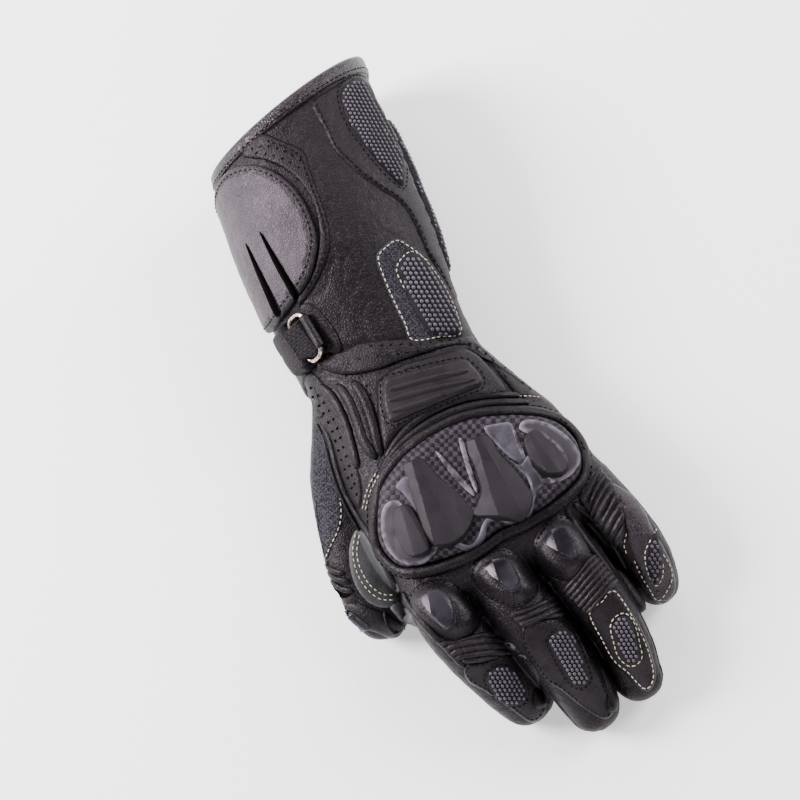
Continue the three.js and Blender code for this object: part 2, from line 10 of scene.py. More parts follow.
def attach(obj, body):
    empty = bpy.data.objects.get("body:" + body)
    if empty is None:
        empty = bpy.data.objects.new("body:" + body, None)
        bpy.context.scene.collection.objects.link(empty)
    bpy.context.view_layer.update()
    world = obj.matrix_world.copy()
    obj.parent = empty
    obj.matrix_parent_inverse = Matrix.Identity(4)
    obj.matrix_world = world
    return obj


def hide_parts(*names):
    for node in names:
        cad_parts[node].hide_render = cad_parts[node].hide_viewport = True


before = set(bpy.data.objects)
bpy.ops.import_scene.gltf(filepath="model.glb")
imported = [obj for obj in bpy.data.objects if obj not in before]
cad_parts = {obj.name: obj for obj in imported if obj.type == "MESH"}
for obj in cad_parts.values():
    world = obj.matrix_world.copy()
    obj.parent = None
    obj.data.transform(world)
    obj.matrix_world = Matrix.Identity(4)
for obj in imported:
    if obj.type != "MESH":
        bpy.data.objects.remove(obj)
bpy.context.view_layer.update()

MM = 0.001
PART_TO_FRAME = np.array([-7.48, 15.5, 0.0])
SOLE = 1.5
HEM_Y = 138.5
LEATHER_THICK = 2.5
BODY_CELL = 1.26
PIXELS_PER_MM = 2.2
MM_PER_DEGREE = 0.75

# The camera of the photograph: it looks down over the fingertips and is rolled a little
CAMERA = {"elevation": 75, "roll": 26, "distance": 1010, "lens": 100, "sensor": 36, "pixels": 800}
CAMERA_TARGET = np.array([0.0, -10.7, 40.0])


def camera_frame():
    """Where the camera is, its right, up and back directions, and its focal length in pixels."""
    tilt = math.radians(CAMERA["elevation"])
    roll = math.radians(CAMERA["roll"])
    back = np.array([0.0, -math.cos(tilt), math.sin(tilt)])
    level_right = np.array([1.0, 0.0, 0.0])
    level_up = np.array([0.0, math.sin(tilt), math.cos(tilt)])
    right = math.cos(roll) * level_right - math.sin(roll) * level_up
    up = math.sin(roll) * level_right + math.cos(roll) * level_up
    focal = CAMERA["lens"] / CAMERA["sensor"] * CAMERA["pixels"]
    return CAMERA_TARGET + back * CAMERA["distance"], right, up, back, focal


EYE, EYE_RIGHT, EYE_UP, EYE_BACK, FOCAL = camera_frame()
MIDDLE = CAMERA["pixels"] / 2


def seen_at(points):
    """The pixels at which points are seen in the photograph."""
    away = points - EYE
    depth = -away @ EYE_BACK
    return np.stack([MIDDLE + FOCAL * (away @ EYE_RIGHT) / depth,
                     MIDDLE - FOCAL * (away @ EYE_UP) / depth], 1)


# Hand and gauntlet sections along Y, as in the solids
TRUNK = np.array([
    # y, x, half width, z, half height, slant, bow, power, seam height
    [-103, 16, 28, 33, 8, 3, 0, 2.4, 27],
    [-97, 16, 44, 33, 16, 3, 0, 2.5, 25.5],
    [-83, 14.2, 52.8, 31.5, 21.5, 3, 0, 2.6, 22.5],
    [-64, 12.4, 54, 29.8, 25, 2, 0, 2.6, 18.5],
    [-44, 10.7, 51.3, 28.6, 27.3, 1, 0, 2.5, 16],
    [-22, 7.8, 46.1, 28, 28.6, -2, 0, 2.4, 15],
    [-4, 5.3, 42.3, 28, 29, -5, 0, 2.3, 14],
    [12, 3.5, 40.5, 28.5, 29.5, -8, 0, 2.2, 14],
    [32, 3, 41.6, 29.7, 32.3, -6, 0, 2.2, 14],
    [60, 4.8, 44.3, 32, 36, -1, 0, 2.2, 14],
    [90, 6.7, 45, 33.8, 37.4, 4.5, 1.5, 2.1, 14],
    [118, 8.2, 44.3, 34.2, 37.5, 8.3, 5, 2, 14],
    [145, 11, 43.6, 34.5, 37.3, 11.5, 7.8, 2, 14],
])

# Fingers and thumb. The number before each table turns the seam about the digit, in radians
DIGITS = {
    # joint, x, y, z, half width, half depth
    "index": (0.5, np.array([
        [0, -24, -82, 33, 13.6, 14],
        [1, -23.5, -112, 35.5, 13.6, 13.4],
        [2, -15.5, -138, 24, 12.8, 12.2],
        [3, -8.2, -154.5, 11.5, 12, 10.4],
    ])),
    "middle": (0.0, np.array([
        [0, 4.5, -86, 34, 14, 14.4],
        [1, 7.2, -118, 36.5, 14.2, 13.6],
        [2, 14, -151, 24, 12.8, 12.2],
        [3, 18, -171, 11.5, 11.2, 10.4],
    ])),
    "ring": (0.0, np.array([
        [0, 32.5, -84, 33, 13.4, 14],
        [1, 37.5, -114, 35.5, 13.8, 13.2],
        [2, 42.5, -147, 23.5, 12, 12],
        [3, 41.8, -168, 11.5, 10.6, 10.4],
    ])),
    "little": (0.0, np.array([
        [0, 56, -70, 30, 10.8, 13.5],
        [1, 63.4, -98, 31, 11.8, 12.6],
        [2, 68, -120, 21, 11.2, 11.2],
        [3, 68.2, -133, 11, 9.9, 10],
    ])),
    "thumb": (0.93, np.array([
        [0, -22, 2, 26, 17, 16],
        [1, -41.2, -34, 21, 15.6, 15.4],
        [2, -51.2, -68, 17, 13.3, 13.6],
        [3, -50, -91, 12.5, 12.4, 11.2],
    ])),
}
FINGER_POWER = 2.4
TIP_REACH = 0.94


def row_at(table, at):
    """One row of a table whose first column is its key, on a smooth curve through the rows."""
    keys = table[:, 0]
    i = int(np.clip(np.searchsorted(keys, at), 1, len(keys) - 1))
    a = table[i - 1]
    b = table[i]
    before = table[max(i - 2, 0)]
    after = table[min(i + 1, len(keys) - 1)]
    span = b[0] - a[0]
    t = (at - a[0]) / span
    slope_a = (b - before) / (b[0] - before[0]) * span
    slope_b = (after - a) / (after[0] - a[0]) * span
    return ((2 * t**3 - 3 * t**2 + 1) * a + (t**3 - 2 * t**2 + t) * slope_a
            + (3 * t**2 - 2 * t**3) * b + (t**3 - t**2) * slope_b)


def signed_power(values, power):
    return np.sign(values) * np.abs(values) ** power


def unit(vectors):
    return vectors / np.maximum(np.linalg.norm(vectors, axis=-1, keepdims=True), 1e-9)


def trunk_ring(y, sides, grow=0.0):
    """One section of the hand or gauntlet, flattened where it rests."""
    _, x, half, z, rise, slant, bow, power, _ = row_at(TRUNK, y)
    angle = np.linspace(0, 2 * math.pi, sides, endpoint=False)
    across = signed_power(np.cos(angle), 2 / power)
    up = signed_power(np.sin(angle), 2 / power)
    height = np.maximum(z + (rise + grow) * up, SOLE - grow)
    along = y + slant * across - bow * np.maximum(up, 0)
    return np.stack([x + (half + grow) * across, along, height], 1)


def stations(table, steps):
    """Centres along a digit with their across, up and along directions and half sizes."""
    places = np.array([row_at(table, 3 * i / steps) for i in range(steps + 1)])
    centres = places[:, 1:4]
    along = unit(np.gradient(centres, axis=0))
    side = unit(np.cross([0.0, 0.0, 1.0], along))
    up = np.cross(along, side)
    return centres, side, up, along, places[:, 4], places[:, 5]


def finger_rings(table, steps, sides):
    """Rings along a digit, with a round tip."""
    centres, side, up, along, wide, deep = stations(table, steps)
    places = [(centres[i], wide[i], deep[i]) for i in range(steps + 1)]
    for degrees in (18, 34, 48, 60, 70, 79, 86):
        turn = math.radians(degrees)
        reach = wide[-1] * TIP_REACH * math.sin(turn)
        shrink = math.cos(turn)
        places.append((centres[-1] + along[-1] * reach, wide[-1] * shrink, deep[-1] * shrink))
    angle = 2 * math.pi * (np.arange(sides) + 0.5) / sides
    across = signed_power(np.cos(angle), 2 / FINGER_POWER)[:, None]
    over = signed_power(np.sin(angle), 2 / FINGER_POWER)[:, None]
    rings = []
    for i, (centre, w, d) in enumerate(places):
        k = min(i, steps)
        ring = centre + side[k] * w * across + up[k] * d * over
        ring[:, 2] = np.maximum(ring[:, 2], SOLE)
        rings.append(ring)
    return rings


def loft(rings):
    """A closed tube through rings of points, as points and faces."""
    sides = len(rings[0])
    points = np.concatenate(rings)
    faces = []
    for r in range(len(rings) - 1):
        for k in range(sides):
            a = r * sides + k
            b = r * sides + (k + 1) % sides
            faces.append((a, b, b + sides, a + sides))
    last = (len(rings) - 1) * sides
    faces.append(tuple(reversed(range(sides))))
    faces.append(tuple(last + k for k in range(sides)))
    return points, faces


def merge(parts):
    """Several points-and-faces pairs as one."""
    points = []
    faces = []
    start = 0
    for part_points, part_faces in parts:
        points.append(part_points)
        faces.extend(tuple(i + start for i in face) for face in part_faces)
        start += len(part_points)
    return np.concatenate(points), faces


def plain_mesh(name, points, faces, edges=()):
    mesh = bpy.data.meshes.new(name)
    mesh.from_pydata(np.asarray(points, float).tolist(), list(edges), faces)
    mesh.update()
    return mesh


def scratch_object(name, points, faces):
    made = bpy.data.objects.new(name, plain_mesh(name, points, faces))
    bpy.context.scene.collection.objects.link(made)
    return made


def triangles_of(obj):
    """The points and triangles of an object with its modifiers, and the object removed."""
    depsgraph = bpy.context.evaluated_depsgraph_get()
    mesh = bpy.data.meshes.new_from_object(obj.evaluated_get(depsgraph))
    mesh.calc_loop_triangles()
    points = np.empty(len(mesh.vertices) * 3)
    mesh.vertices.foreach_get("co", points)
    triangles = np.empty(len(mesh.loop_triangles) * 3, int)
    mesh.loop_triangles.foreach_get("vertices", triangles)
    bpy.data.objects.remove(obj)
    bpy.data.meshes.remove(mesh)
    return points.reshape(-1, 3), triangles.reshape(-1, 3)


def vertex_normals(points, triangles):
    corners = points[triangles]
    face_normals = np.cross(corners[:, 1] - corners[:, 0], corners[:, 2] - corners[:, 0])
    normals = np.zeros_like(points)
    for k in range(3):
        np.add.at(normals, triangles[:, k], face_normals)
    return unit(normals)


def edges_of(triangles):
    pairs = np.concatenate([triangles[:, [0, 1]], triangles[:, [1, 2]], triangles[:, [2, 0]]])
    return np.unique(np.sort(pairs, axis=1), axis=0)


def relax(values, edges, rounds, share=0.5):
    """Values at points, evened out with those of their neighbours."""
    count = np.zeros(len(values))
    np.add.at(count, edges[:, 0], 1)
    np.add.at(count, edges[:, 1], 1)
    count = np.maximum(count, 1)[:, None]
    for _ in range(rounds):
        total = np.zeros_like(values)
        np.add.at(total, edges[:, 0], values[edges[:, 1]])
        np.add.at(total, edges[:, 1], values[edges[:, 0]])
        values = values * (1 - share) + share * total / count
    return values


def curve_through(points, spacing, closed=False):
    """A smooth line through points, with even steps."""
    points = np.asarray(points, float)
    n = len(points)
    spans = n if closed else n - 1
    dense = []
    for i in range(spans):
        p0 = points[(i - 1) % n] if closed or i > 0 else 2 * points[0] - points[1]
        p1 = points[i]
        p2 = points[(i + 1) % n]
        p3 = points[(i + 2) % n] if closed or i + 2 < n else 2 * points[-1] - points[-2]
        t = np.linspace(0, 1, 24, endpoint=False)[:, None]
        dense.append(0.5 * (2 * p1 + (p2 - p0) * t + (2 * p0 - 5 * p1 + 4 * p2 - p3) * t**2
                            + (3 * p1 - p0 - 3 * p2 + p3) * t**3))
    dense.append(points[:1] if closed else points[-1:])
    dense = np.concatenate(dense)
    lengths = np.concatenate([[0], np.cumsum(np.linalg.norm(np.diff(dense, axis=0), axis=1))])
    count = max(int(round(lengths[-1] / spacing)), 3)
    at = np.linspace(0, lengths[-1], count + 1)
    line = np.stack([np.interp(at, lengths, dense[:, k]) for k in range(dense.shape[1])], 1)
    return line[:-1] if closed else line


def distance_to(points, line, closed):
    """How far points in a plane lie from a line of points."""
    a = line
    b = np.roll(line, -1, axis=0)
    if not closed:
        a = a[:-1]
        b = b[:-1]
    best = np.full(len(points), 1e9)
    step = b - a
    length = np.maximum((step**2).sum(1), 1e-12)
    for k in range(len(a)):
        away = points - a[k]
        t = np.clip(away @ step[k] / length[k], 0, 1)
        gap = away - t[:, None] * step[k]
        best = np.minimum(best, (gap**2).sum(1))
    return np.sqrt(best)


def inside(points, loop):
    """Which points in a plane lie inside a closed line."""
    result = np.zeros(len(points), bool)
    following = np.roll(loop, -1, axis=0)
    for (ax, ay), (bx, by) in zip(loop, following):
        crosses = (ay > points[:, 1]) != (by > points[:, 1])
        if ay != by:
            at = ax + (points[:, 1] - ay) * (bx - ax) / (by - ay)
            result ^= crosses & (points[:, 0] < at)
    return result


# Lines of sight. In the photo u and v are its pixels. From above and below u is x, around the gauntlet
# u is an angle in degrees that is 0 at the little finger's side and 90 at the top, and v is always y.
FAR = 260.0
AXIS = np.array([5.0, 0.0, 32.0])
UNIT_SIZE = {"photo": (1 / PIXELS_PER_MM, 1 / PIXELS_PER_MM), "above": (1, 1), "below": (1, 1),
             "around": (MM_PER_DEGREE, 1)}


def sight(view, u, v):
    """Where a line of sight starts, and the way it looks."""
    if view == "photo":
        way = -EYE_BACK + EYE_RIGHT * (u - MIDDLE) / FOCAL + EYE_UP * (MIDDLE - v) / FOCAL
        return EYE, way / np.linalg.norm(way)
    if view == "around":
        angle = math.radians(u)
        out = np.array([math.cos(angle), 0, math.sin(angle)])
        return AXIS * (1, 0, 1) + np.array([0, v, 0]) + out * FAR, -out
    out = np.array([0, 0, 1.0 if view == "above" else -1.0])
    return np.array([u, v, 0.0]) + out * FAR, -out


ground = {}


def lay(name, points, faces):
    """Adds a surface that later pieces can lie on."""
    ground[name] = BVHTree.FromPolygons([tuple(p) for p in points], [tuple(f) for f in faces])


def cast(view, places, on):
    """The points where lines of sight meet what is laid there, and the way each line looks."""
    hits = np.full((len(places), 3), np.nan)
    ways = np.zeros((len(places), 3))
    for i, (u, v) in enumerate(places):
        start, way = sight(view, u, v)
        ways[i] = way
        nearest = 1e9
        for name in on:
            place, _, _, far = ground[name].ray_cast(Vector(start), Vector(way))
            if place is not None and far < nearest:
                nearest = far
                hits[i] = place
    missed = np.isnan(hits[:, 0])
    if missed.any() and not missed.all():
        reach = np.nanmean(np.linalg.norm(hits - np.array([sight(view, *p)[0] for p in places]), axis=1))
        for i in np.flatnonzero(missed):
            start, way = sight(view, *places[i])
            hits[i] = ground[on[0]].find_nearest(Vector(start + way * reach))[0]
    return hits, ways


# The finishes, by their names
materials = {}


def piece(name, points, faces, finish, replaces=(), sharp=None, values=None):
    """A finished piece of the glove, placed in the frame."""
    mesh = plain_mesh(name, (np.asarray(points) + PART_TO_FRAME) * MM, faces)
    mesh.shade_smooth()
    if sharp:
        mesh.set_sharp_from_angle(angle=math.radians(sharp))
    for key, numbers in (values or {}).items():
        layer = mesh.attributes.new(key, "FLOAT", "POINT")
        layer.data.foreach_set("value", np.asarray(numbers, np.float32))
    mesh.materials.append(materials[finish])
    made = bpy.data.objects.new(name, mesh)
    bpy.context.scene.collection.objects.link(made)
    return settle(made, replaces)


def settle(made, replaces=()):
    """Fixes a piece to the glove and hides the solids it stands for."""
    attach(made, "root")
    if replaces:
        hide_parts(*replaces)
    return made


def quarter_round(share):
    """How far a quarter round has risen at a share of its width."""
    return np.sqrt(1 - (1 - share) ** 2)


def rounded(edge, top, reach):
    """A height that rises from the edge to the top in a quarter round."""
    def height(depth, places, hits):
        return edge + (top - edge) * quarter_round(np.clip(depth / reach, 0, 1))
    return height


def swelling(edge, top, reach):
    """A height that swells softly from the edge to the top."""
    def height(depth, places, hits):
        t = np.clip(depth / reach, 0, 1)
        return edge + (top - edge) * t * t * (3 - 2 * t)
    return height


def beveled(edge, slope, top):
    """A height that rises from the edge in a straight bevel to a flat top."""
    def height(depth, places, hits):
        return np.minimum(edge + depth * slope, top)
    return height


def across_line(places, start, end):
    """How far places lie along a line between two marks, from 0 to 1, and across it in millimetres."""
    start = np.array(start) / PIXELS_PER_MM
    end = np.array(end) / PIXELS_PER_MM
    way = end - start
    length = np.linalg.norm(way)
    way = way / length
    away = places - start
    return away @ way / length, away @ np.array([-way[1], way[0]])


def fanned(edge, slope, apex, tip, crown):
    """Flat facets that fan out from an apex towards a tip, with a bevel at the outline. crown is pairs of
    how far a ridge leans from the middle line and how fast it rises, for each millimetre from the apex."""
    leans, rises = np.array(crown).T
    length = np.linalg.norm(np.array(tip) - np.array(apex)) / PIXELS_PER_MM
    def height(depth, places, hits):
        share, side = across_line(places, apex, tip)
        away = np.maximum(share * length, 1.0)
        return np.minimum(edge + depth * slope, edge + away * np.interp(side / away, leans, rises))
    return height


def fan_ridges(apex, tip, crown):
    """The lines on which a fan's facets meet."""
    apex, tip = np.array(apex, float), np.array(tip, float)
    way = tip - apex
    over = np.array([-way[1], way[0]])
    return [(apex, apex + way + over * lean) for lean, _ in crown[1:-1]]


def quilted(edge, top, reach, pitch):
    """Soft cushions in a slanting grid, with stitched valleys between them."""
    def height(depth, places, hits):
        u, v = (places @ np.array([[1, 1], [1, -1]])).T / pitch
        cushions = np.abs(np.sin(math.pi * u) * np.sin(math.pi * v)) ** 0.35
        rise = quarter_round(np.clip(depth / reach, 0, 1))
        return edge + (top - edge) * rise * (0.25 + 0.75 * cushions)
    return height


RIB_SHOULDER = 1.4


def ribbed(low, high, start, end, count, bow):
    """Rounded ribs one after another along the line from start to end, bowed at their sides."""
    def height(depth, places, hits):
        at, side = across_line(places, start, end)
        wave = np.sqrt(np.abs(np.sin(math.pi * (at * count + bow * (side / 10) ** 2))))
        t = np.clip(depth / RIB_SHOULDER, 0, 1)
        return low * t + (high - low) * wave * quarter_round(t)
    return height


def with_slits(base, lines):
    """A height with tapering slits pressed into it along lines seen in the photograph."""
    def height(depth, places, hits):
        rise = base(depth, places, hits)
        out = unit((hits - AXIS) * (1, 0, 1))
        at = seen_at(hits + out * rise[:, None]) / PIXELS_PER_MM
        for deep, wide, line in lines:
            path = curve_through(np.array(line) / PIXELS_PER_MM, 0.8)
            away = distance_to(at, path, False)
            share, _ = across_line(at, line[0], line[-1])
            width = wide * np.clip(0.35 + 0.65 * share, 0.35, 1)
            rise = rise - deep * np.clip(1.4 - away / width, 0, 1)
        return rise
    return height


# Spacing in a draped piece's mesh, as shares of its cell
ROW_STEP = 0.87
CLEAR_OF_EDGE = 0.55
RIDGE_CLEAR_OF_EDGE = 0.4
CLEAR_OF_RIDGE = 0.5
RIM = 0.3


def drape(view, outline, height, cell=1.0, sunk=1.2, on=("body",), smoothing=4, ridges=()):
    """A closed pad or plate that follows what it lies on. height takes each point's distance from the
    outline, its place in the view in millimetres, and the point that it lies on."""
    size = np.array(UNIT_SIZE[view])
    loop = curve_through(np.asarray(outline, float) * size, cell, closed=True)
    low = loop.min(0)
    high = loop.max(0)
    grid = []
    for i, y in enumerate(np.arange(low[1], high[1], cell * ROW_STEP)):
        row = np.arange(low[0] + (i % 2) * cell / 2, high[0], cell)
        grid.append(np.stack([row, np.full(len(row), y)], 1))
    grid = np.concatenate(grid)
    grid = grid[inside(grid, loop)]
    grid = grid[distance_to(grid, loop, True) > cell * CLEAR_OF_EDGE]
    ring = [(i, (i + 1) % len(loop)) for i in range(len(loop))]
    lines = []
    for start, end in ridges:
        start = start * size
        end = end * size
        steps = np.linspace(0, 1, int(np.linalg.norm(end - start) / cell) + 2)[:, None]
        line = start + (end - start) * steps
        line = line[inside(line, loop)]
        line = line[distance_to(line, loop, True) > cell * RIDGE_CLEAR_OF_EDGE]
        if len(line) > 1:
            grid = grid[distance_to(grid, line, False) > cell * CLEAR_OF_RIDGE]
            first = len(loop) + sum(len(other) for other in lines)
            ring += [(first + i, first + i + 1) for i in range(len(line) - 1)]
            lines.append(line)
    flat = np.concatenate([loop, *lines, grid])
    found = delaunay_2d_cdt([Vector(p) for p in flat], ring, [], 1, 1e-5)
    flat = np.array([tuple(p) for p in found[0]])
    triangles = np.array([tuple(f) for f in found[2]])
    hits, ways = cast(view, flat / size, on)
    normals = vertex_normals(hits, triangles)
    if (normals * ways).sum() > 0:
        triangles = triangles[:, ::-1]
        normals = -normals
    edges = edges_of(triangles)
    normals = unit(relax(normals, edges, 3))
    depth = distance_to(flat, loop, True)
    rise = height(depth, flat, hits)
    base = relax(hits, edges, smoothing, 0.4)
    rim = depth < cell * RIM
    base[rim] = hits[rim]
    top = base + normals * rise[:, None]
    bottom = base - normals * sunk
    count = len(top)
    directed = np.concatenate([triangles[:, [0, 1]], triangles[:, [1, 2]], triangles[:, [2, 0]]])
    keys = {tuple(e) for e in directed.tolist()}
    border = [(a, b) for a, b in keys if (b, a) not in keys]
    faces = [tuple(t) for t in triangles.tolist()]
    faces += [tuple(i + count for i in t[::-1]) for t in triangles.tolist()]
    faces += [(b, a, a + count, b + count) for a, b in border]
    values = {"edge_distance": np.concatenate([depth, np.zeros(count)]),
              "across": np.concatenate([flat[:, 0], flat[:, 0]]) * MM,
              "along": np.concatenate([flat[:, 1], flat[:, 1]]) * MM}
    return np.concatenate([top, bottom]), faces, values, top, triangles


def tube(path, out, radius, sides=8, closed=False, flat=1.0):
    """A round cord of leather, thread or wire along a path, capped at its ends unless it is closed."""
    n = len(path)
    along = np.roll(path, -1, axis=0) - np.roll(path, 1, axis=0)
    if not closed:
        along[0] = path[1] - path[0]
        along[-1] = path[-1] - path[-2]
    along = unit(along)
    side = unit(np.cross(out, along))
    up = np.cross(along, side)
    size = np.broadcast_to(np.asarray(radius, float), (n,))[:, None]
    angle = np.linspace(0, 2 * math.pi, sides, endpoint=False)
    points = np.concatenate([path + side * size * math.cos(a) + up * size * flat * math.sin(a)
                             for a in angle])
    faces = []
    for k in range(sides):
        nxt = (k + 1) % sides
        for i in range(n if closed else n - 1):
            j = (i + 1) % n
            faces.append((k * n + i, nxt * n + i, nxt * n + j, k * n + j))
    if not closed:
        faces.append(tuple(k * n for k in reversed(range(sides))))
        faces.append(tuple(k * n + n - 1 for k in range(sides)))
    return points, faces


def trail(view, marks, spacing=1.0, closed=False, on=("body",), lift=0.0):
    """A line that follows the glove through marks, and the way out of it at each point."""
    size = np.array(UNIT_SIZE[view])
    line = curve_through(np.asarray(marks, float) * size, spacing, closed)
    hits, ways = cast(view, line / size, on)
    out = np.zeros_like(hits)
    for i, hit in enumerate(hits):
        best = 1e9
        for name in on:
            _, normal, _, far = ground[name].find_nearest(Vector(hit))
            if far < best:
                best = far
                out[i] = normal
    flip = (out * ways).sum(1) > 0
    out[flip] *= -1
    count = len(hits)
    links = np.array([(i, (i + 1) % count) for i in range(count if closed else count - 1)])
    ends = (hits[0].copy(), hits[-1].copy())
    hits = relax(hits, links, 2, 0.4)
    out = unit(relax(out, links, 4))
    if not closed:
        hits[0], hits[-1] = ends
    return hits + out * lift, out


def tapered(count, radius, ends=0.35, share=0.2):
    """Radii along a welt that is thinner at both ends."""
    at = np.linspace(0, 1, count)
    near = np.clip(np.minimum(at, 1 - at) / share, 0, 1)
    return radius * (ends + (1 - ends) * quarter_round(near))


# Shader nodes

def node(tree, kind, inputs=None, **settings):
    """A node with its settings, and its inputs joined to sockets or set to values."""
    made = tree.nodes.new(kind)
    for key, value in settings.items():
        setattr(made, key, value)
    for key, value in (inputs or {}).items():
        if isinstance(value, bpy.types.NodeSocket):
            tree.links.new(value, made.inputs[key])
        else:
            made.inputs[key].default_value = value
    return made


def math_node(tree, operation, a, b=0.0, clamp=False):
    return node(tree, "ShaderNodeMath", {0: a, 1: b}, operation=operation, use_clamp=clamp).outputs[0]


def scaled(tree, value, low, high, start=0.0, end=1.0):
    """A value carried from one range to another, smoothly and held at its ends."""
    made = node(tree, "ShaderNodeMapRange", {"Value": value, "From Min": start, "From Max": end,
                                             "To Min": low, "To Max": high})
    made.interpolation_type = "SMOOTHSTEP"
    return made.outputs["Result"]


def effect_group(name, inputs, outputs):
    """An empty shader group with named sockets."""
    tree = bpy.data.node_groups.new(name, "ShaderNodeTree")
    for key, (kind, value) in inputs.items():
        socket = tree.interface.new_socket(key, in_out="INPUT", socket_type=kind)
        if value is not None:
            socket.default_value = value
    for key, kind in outputs.items():
        tree.interface.new_socket(key, in_out="OUTPUT", socket_type=kind)
    given = tree.nodes.new("NodeGroupInput").outputs
    result = tree.nodes.new("NodeGroupOutput").inputs
    return tree, given, result


def connect(tree, pairs):
    for socket, target in pairs:
        tree.links.new(socket, target)


def grain_group():
    """Leather grain: small rounded cells with creases between them, and slow changes of shade."""
    tree, given, result = effect_group("leather grain", {
        "Vector": ("NodeSocketVector", None),
        "Cells per metre": ("NodeSocketFloat", 900.0),
        "Creases": ("NodeSocketFloat", 0.35),
    }, {"Height": "NodeSocketFloat", "Shade": "NodeSocketFloat"})
    warp = node(tree, "ShaderNodeTexNoise", {"Vector": given["Vector"], "Scale": 260.0, "Detail": 2.0})
    bent = node(tree, "ShaderNodeMixRGB", {"Fac": 0.0007, "Color1": given["Vector"],
                                           "Color2": warp.outputs["Color"]}, blend_type="ADD")
    cells = node(tree, "ShaderNodeTexVoronoi", {"Vector": bent.outputs[0],
                                                "Scale": given["Cells per metre"]},
                 feature="DISTANCE_TO_EDGE")
    crowns = scaled(tree, cells.outputs["Distance"], 0.0, 1.0, 0.0, 0.42)
    folds = node(tree, "ShaderNodeTexNoise", {"Vector": bent.outputs[0], "Scale": 120.0, "Detail": 4.0,
                                              "Roughness": 0.6})
    fold_line = math_node(tree, "ABSOLUTE", math_node(tree, "SUBTRACT", folds.outputs["Fac"], 0.5))
    fold = scaled(tree, fold_line, 0.0, 1.0, 0.0, 0.11)
    creased = math_node(tree, "MULTIPLY", math_node(tree, "SUBTRACT", fold, 1.0), given["Creases"])
    height = math_node(tree, "ADD", crowns, creased)
    slow = node(tree, "ShaderNodeTexNoise", {"Vector": given["Vector"], "Scale": 38.0, "Detail": 5.0,
                                             "Roughness": 0.62})
    shade = math_node(tree, "ADD", math_node(tree, "MULTIPLY", slow.outputs["Fac"], 0.75),
                      math_node(tree, "MULTIPLY", crowns, 0.25))
    connect(tree, [(height, result["Height"]), (shade, result["Shade"])])
    return tree


def edge_scuff_shade_highlight_group():
    """A mask strong near a piece's outline and broken up by noise, for scuffed edges, painted seam shade and
    painted edge highlights.
    """
    tree, given, result = effect_group("rubbed edges", {
        "Vector": ("NodeSocketVector", None),
        "Distance": ("NodeSocketFloat", 1.0),
        "Reach": ("NodeSocketFloat", 1.2),
    }, {"Mask": "NodeSocketFloat"})
    near = math_node(tree, "SUBTRACT", 1.0,
                     math_node(tree, "DIVIDE", given["Distance"], given["Reach"], clamp=True), clamp=True)
    patchy = node(tree, "ShaderNodeTexNoise", {"Vector": given["Vector"], "Scale": 210.0, "Detail": 5.0,
                                               "Roughness": 0.7})
    mask = math_node(tree, "MULTIPLY", near, scaled(tree, patchy.outputs["Fac"], 0.0, 1.0, 0.35, 0.62))
    connect(tree, [(mask, result["Mask"])])
    return tree


def weave_group():
    """Cloth or carbon weave: raised threads over and under one another, along two directions."""
    tree, given, result = effect_group("weave", {
        "Across": ("NodeSocketFloat", 0.0),
        "Along": ("NodeSocketFloat", 0.0),
        "Threads per metre": ("NodeSocketFloat", 900.0),
    }, {"Height": "NodeSocketFloat", "Over": "NodeSocketFloat"})
    u = math_node(tree, "MULTIPLY", given["Across"], given["Threads per metre"])
    v = math_node(tree, "MULTIPLY", given["Along"], given["Threads per metre"])
    wave_u = math_node(tree, "SINE", math_node(tree, "MULTIPLY", u, math.pi))
    wave_v = math_node(tree, "SINE", math_node(tree, "MULTIPLY", v, math.pi))
    crossing = math_node(tree, "MULTIPLY", wave_u, wave_v)
    over = scaled(tree, crossing, 0.0, 1.0, -0.25, 0.25)
    height = math_node(tree, "ABSOLUTE", crossing)
    connect(tree, [(math_node(tree, "POWER", height, 0.5), result["Height"]), (over, result["Over"])])
    return tree


def fray_group():
    """A field that starts some way in from a piece's outline, with a frayed border."""
    tree, given, result = effect_group("frayed field", {
        "Vector": ("NodeSocketVector", None),
        "Distance": ("NodeSocketFloat", 1.0),
        "Start": ("NodeSocketFloat", 4.6),
        "Fray": ("NodeSocketFloat", 9.0),
    }, {"Mask": "NodeSocketFloat"})
    ragged = node(tree, "ShaderNodeTexNoise", {"Vector": given["Vector"], "Scale": 120.0, "Detail": 7.0,
                                               "Roughness": 0.75})
    uneven = math_node(tree, "SUBTRACT", ragged.outputs["Fac"], 0.5)
    shift = math_node(tree, "MULTIPLY", uneven, given["Fray"])
    far = math_node(tree, "SUBTRACT", math_node(tree, "ADD", given["Distance"], shift), given["Start"])
    connect(tree, [(scaled(tree, far, 0.0, 1.0, -0.2, 0.2), result["Mask"])])
    return tree


EFFECTS = {"grain": grain_group(), "edge_scuff_shade_highlight": edge_scuff_shade_highlight_group(), "weave": weave_group(), "fray": fray_group()}


def effect(tree, name, inputs):
    made = tree.nodes.new("ShaderNodeGroup")
    made.node_tree = EFFECTS[name]
    for key, value in inputs.items():
        if isinstance(value, bpy.types.NodeSocket):
            tree.links.new(value, made.inputs[key])
        else:
            made.inputs[key].default_value = value
    return made.outputs


def linear(*srgb):
    """A colour given as screen values from 0 to 255."""
    values = [c / 255 for c in srgb]
    return (*[c / 12.92 if c <= 0.04045 else ((c + 0.055) / 1.055) ** 2.4 for c in values], 1.0)


# The faint lilac of light reflected by the leather and plastic
SHINE = (1.0, 0.86, 0.97, 1.0)


def new_material(name):
    made = bpy.data.materials.new(name)
    made.use_nodes = True
    tree = made.node_tree
    tree.nodes.clear()
    shader = tree.nodes.new("ShaderNodeBsdfPrincipled")
    output = tree.nodes.new("ShaderNodeOutputMaterial")
    tree.links.new(shader.outputs[0], output.inputs["Surface"])
    place = tree.nodes.new("ShaderNodeTexCoord").outputs["Object"]
    return made, tree, shader, place


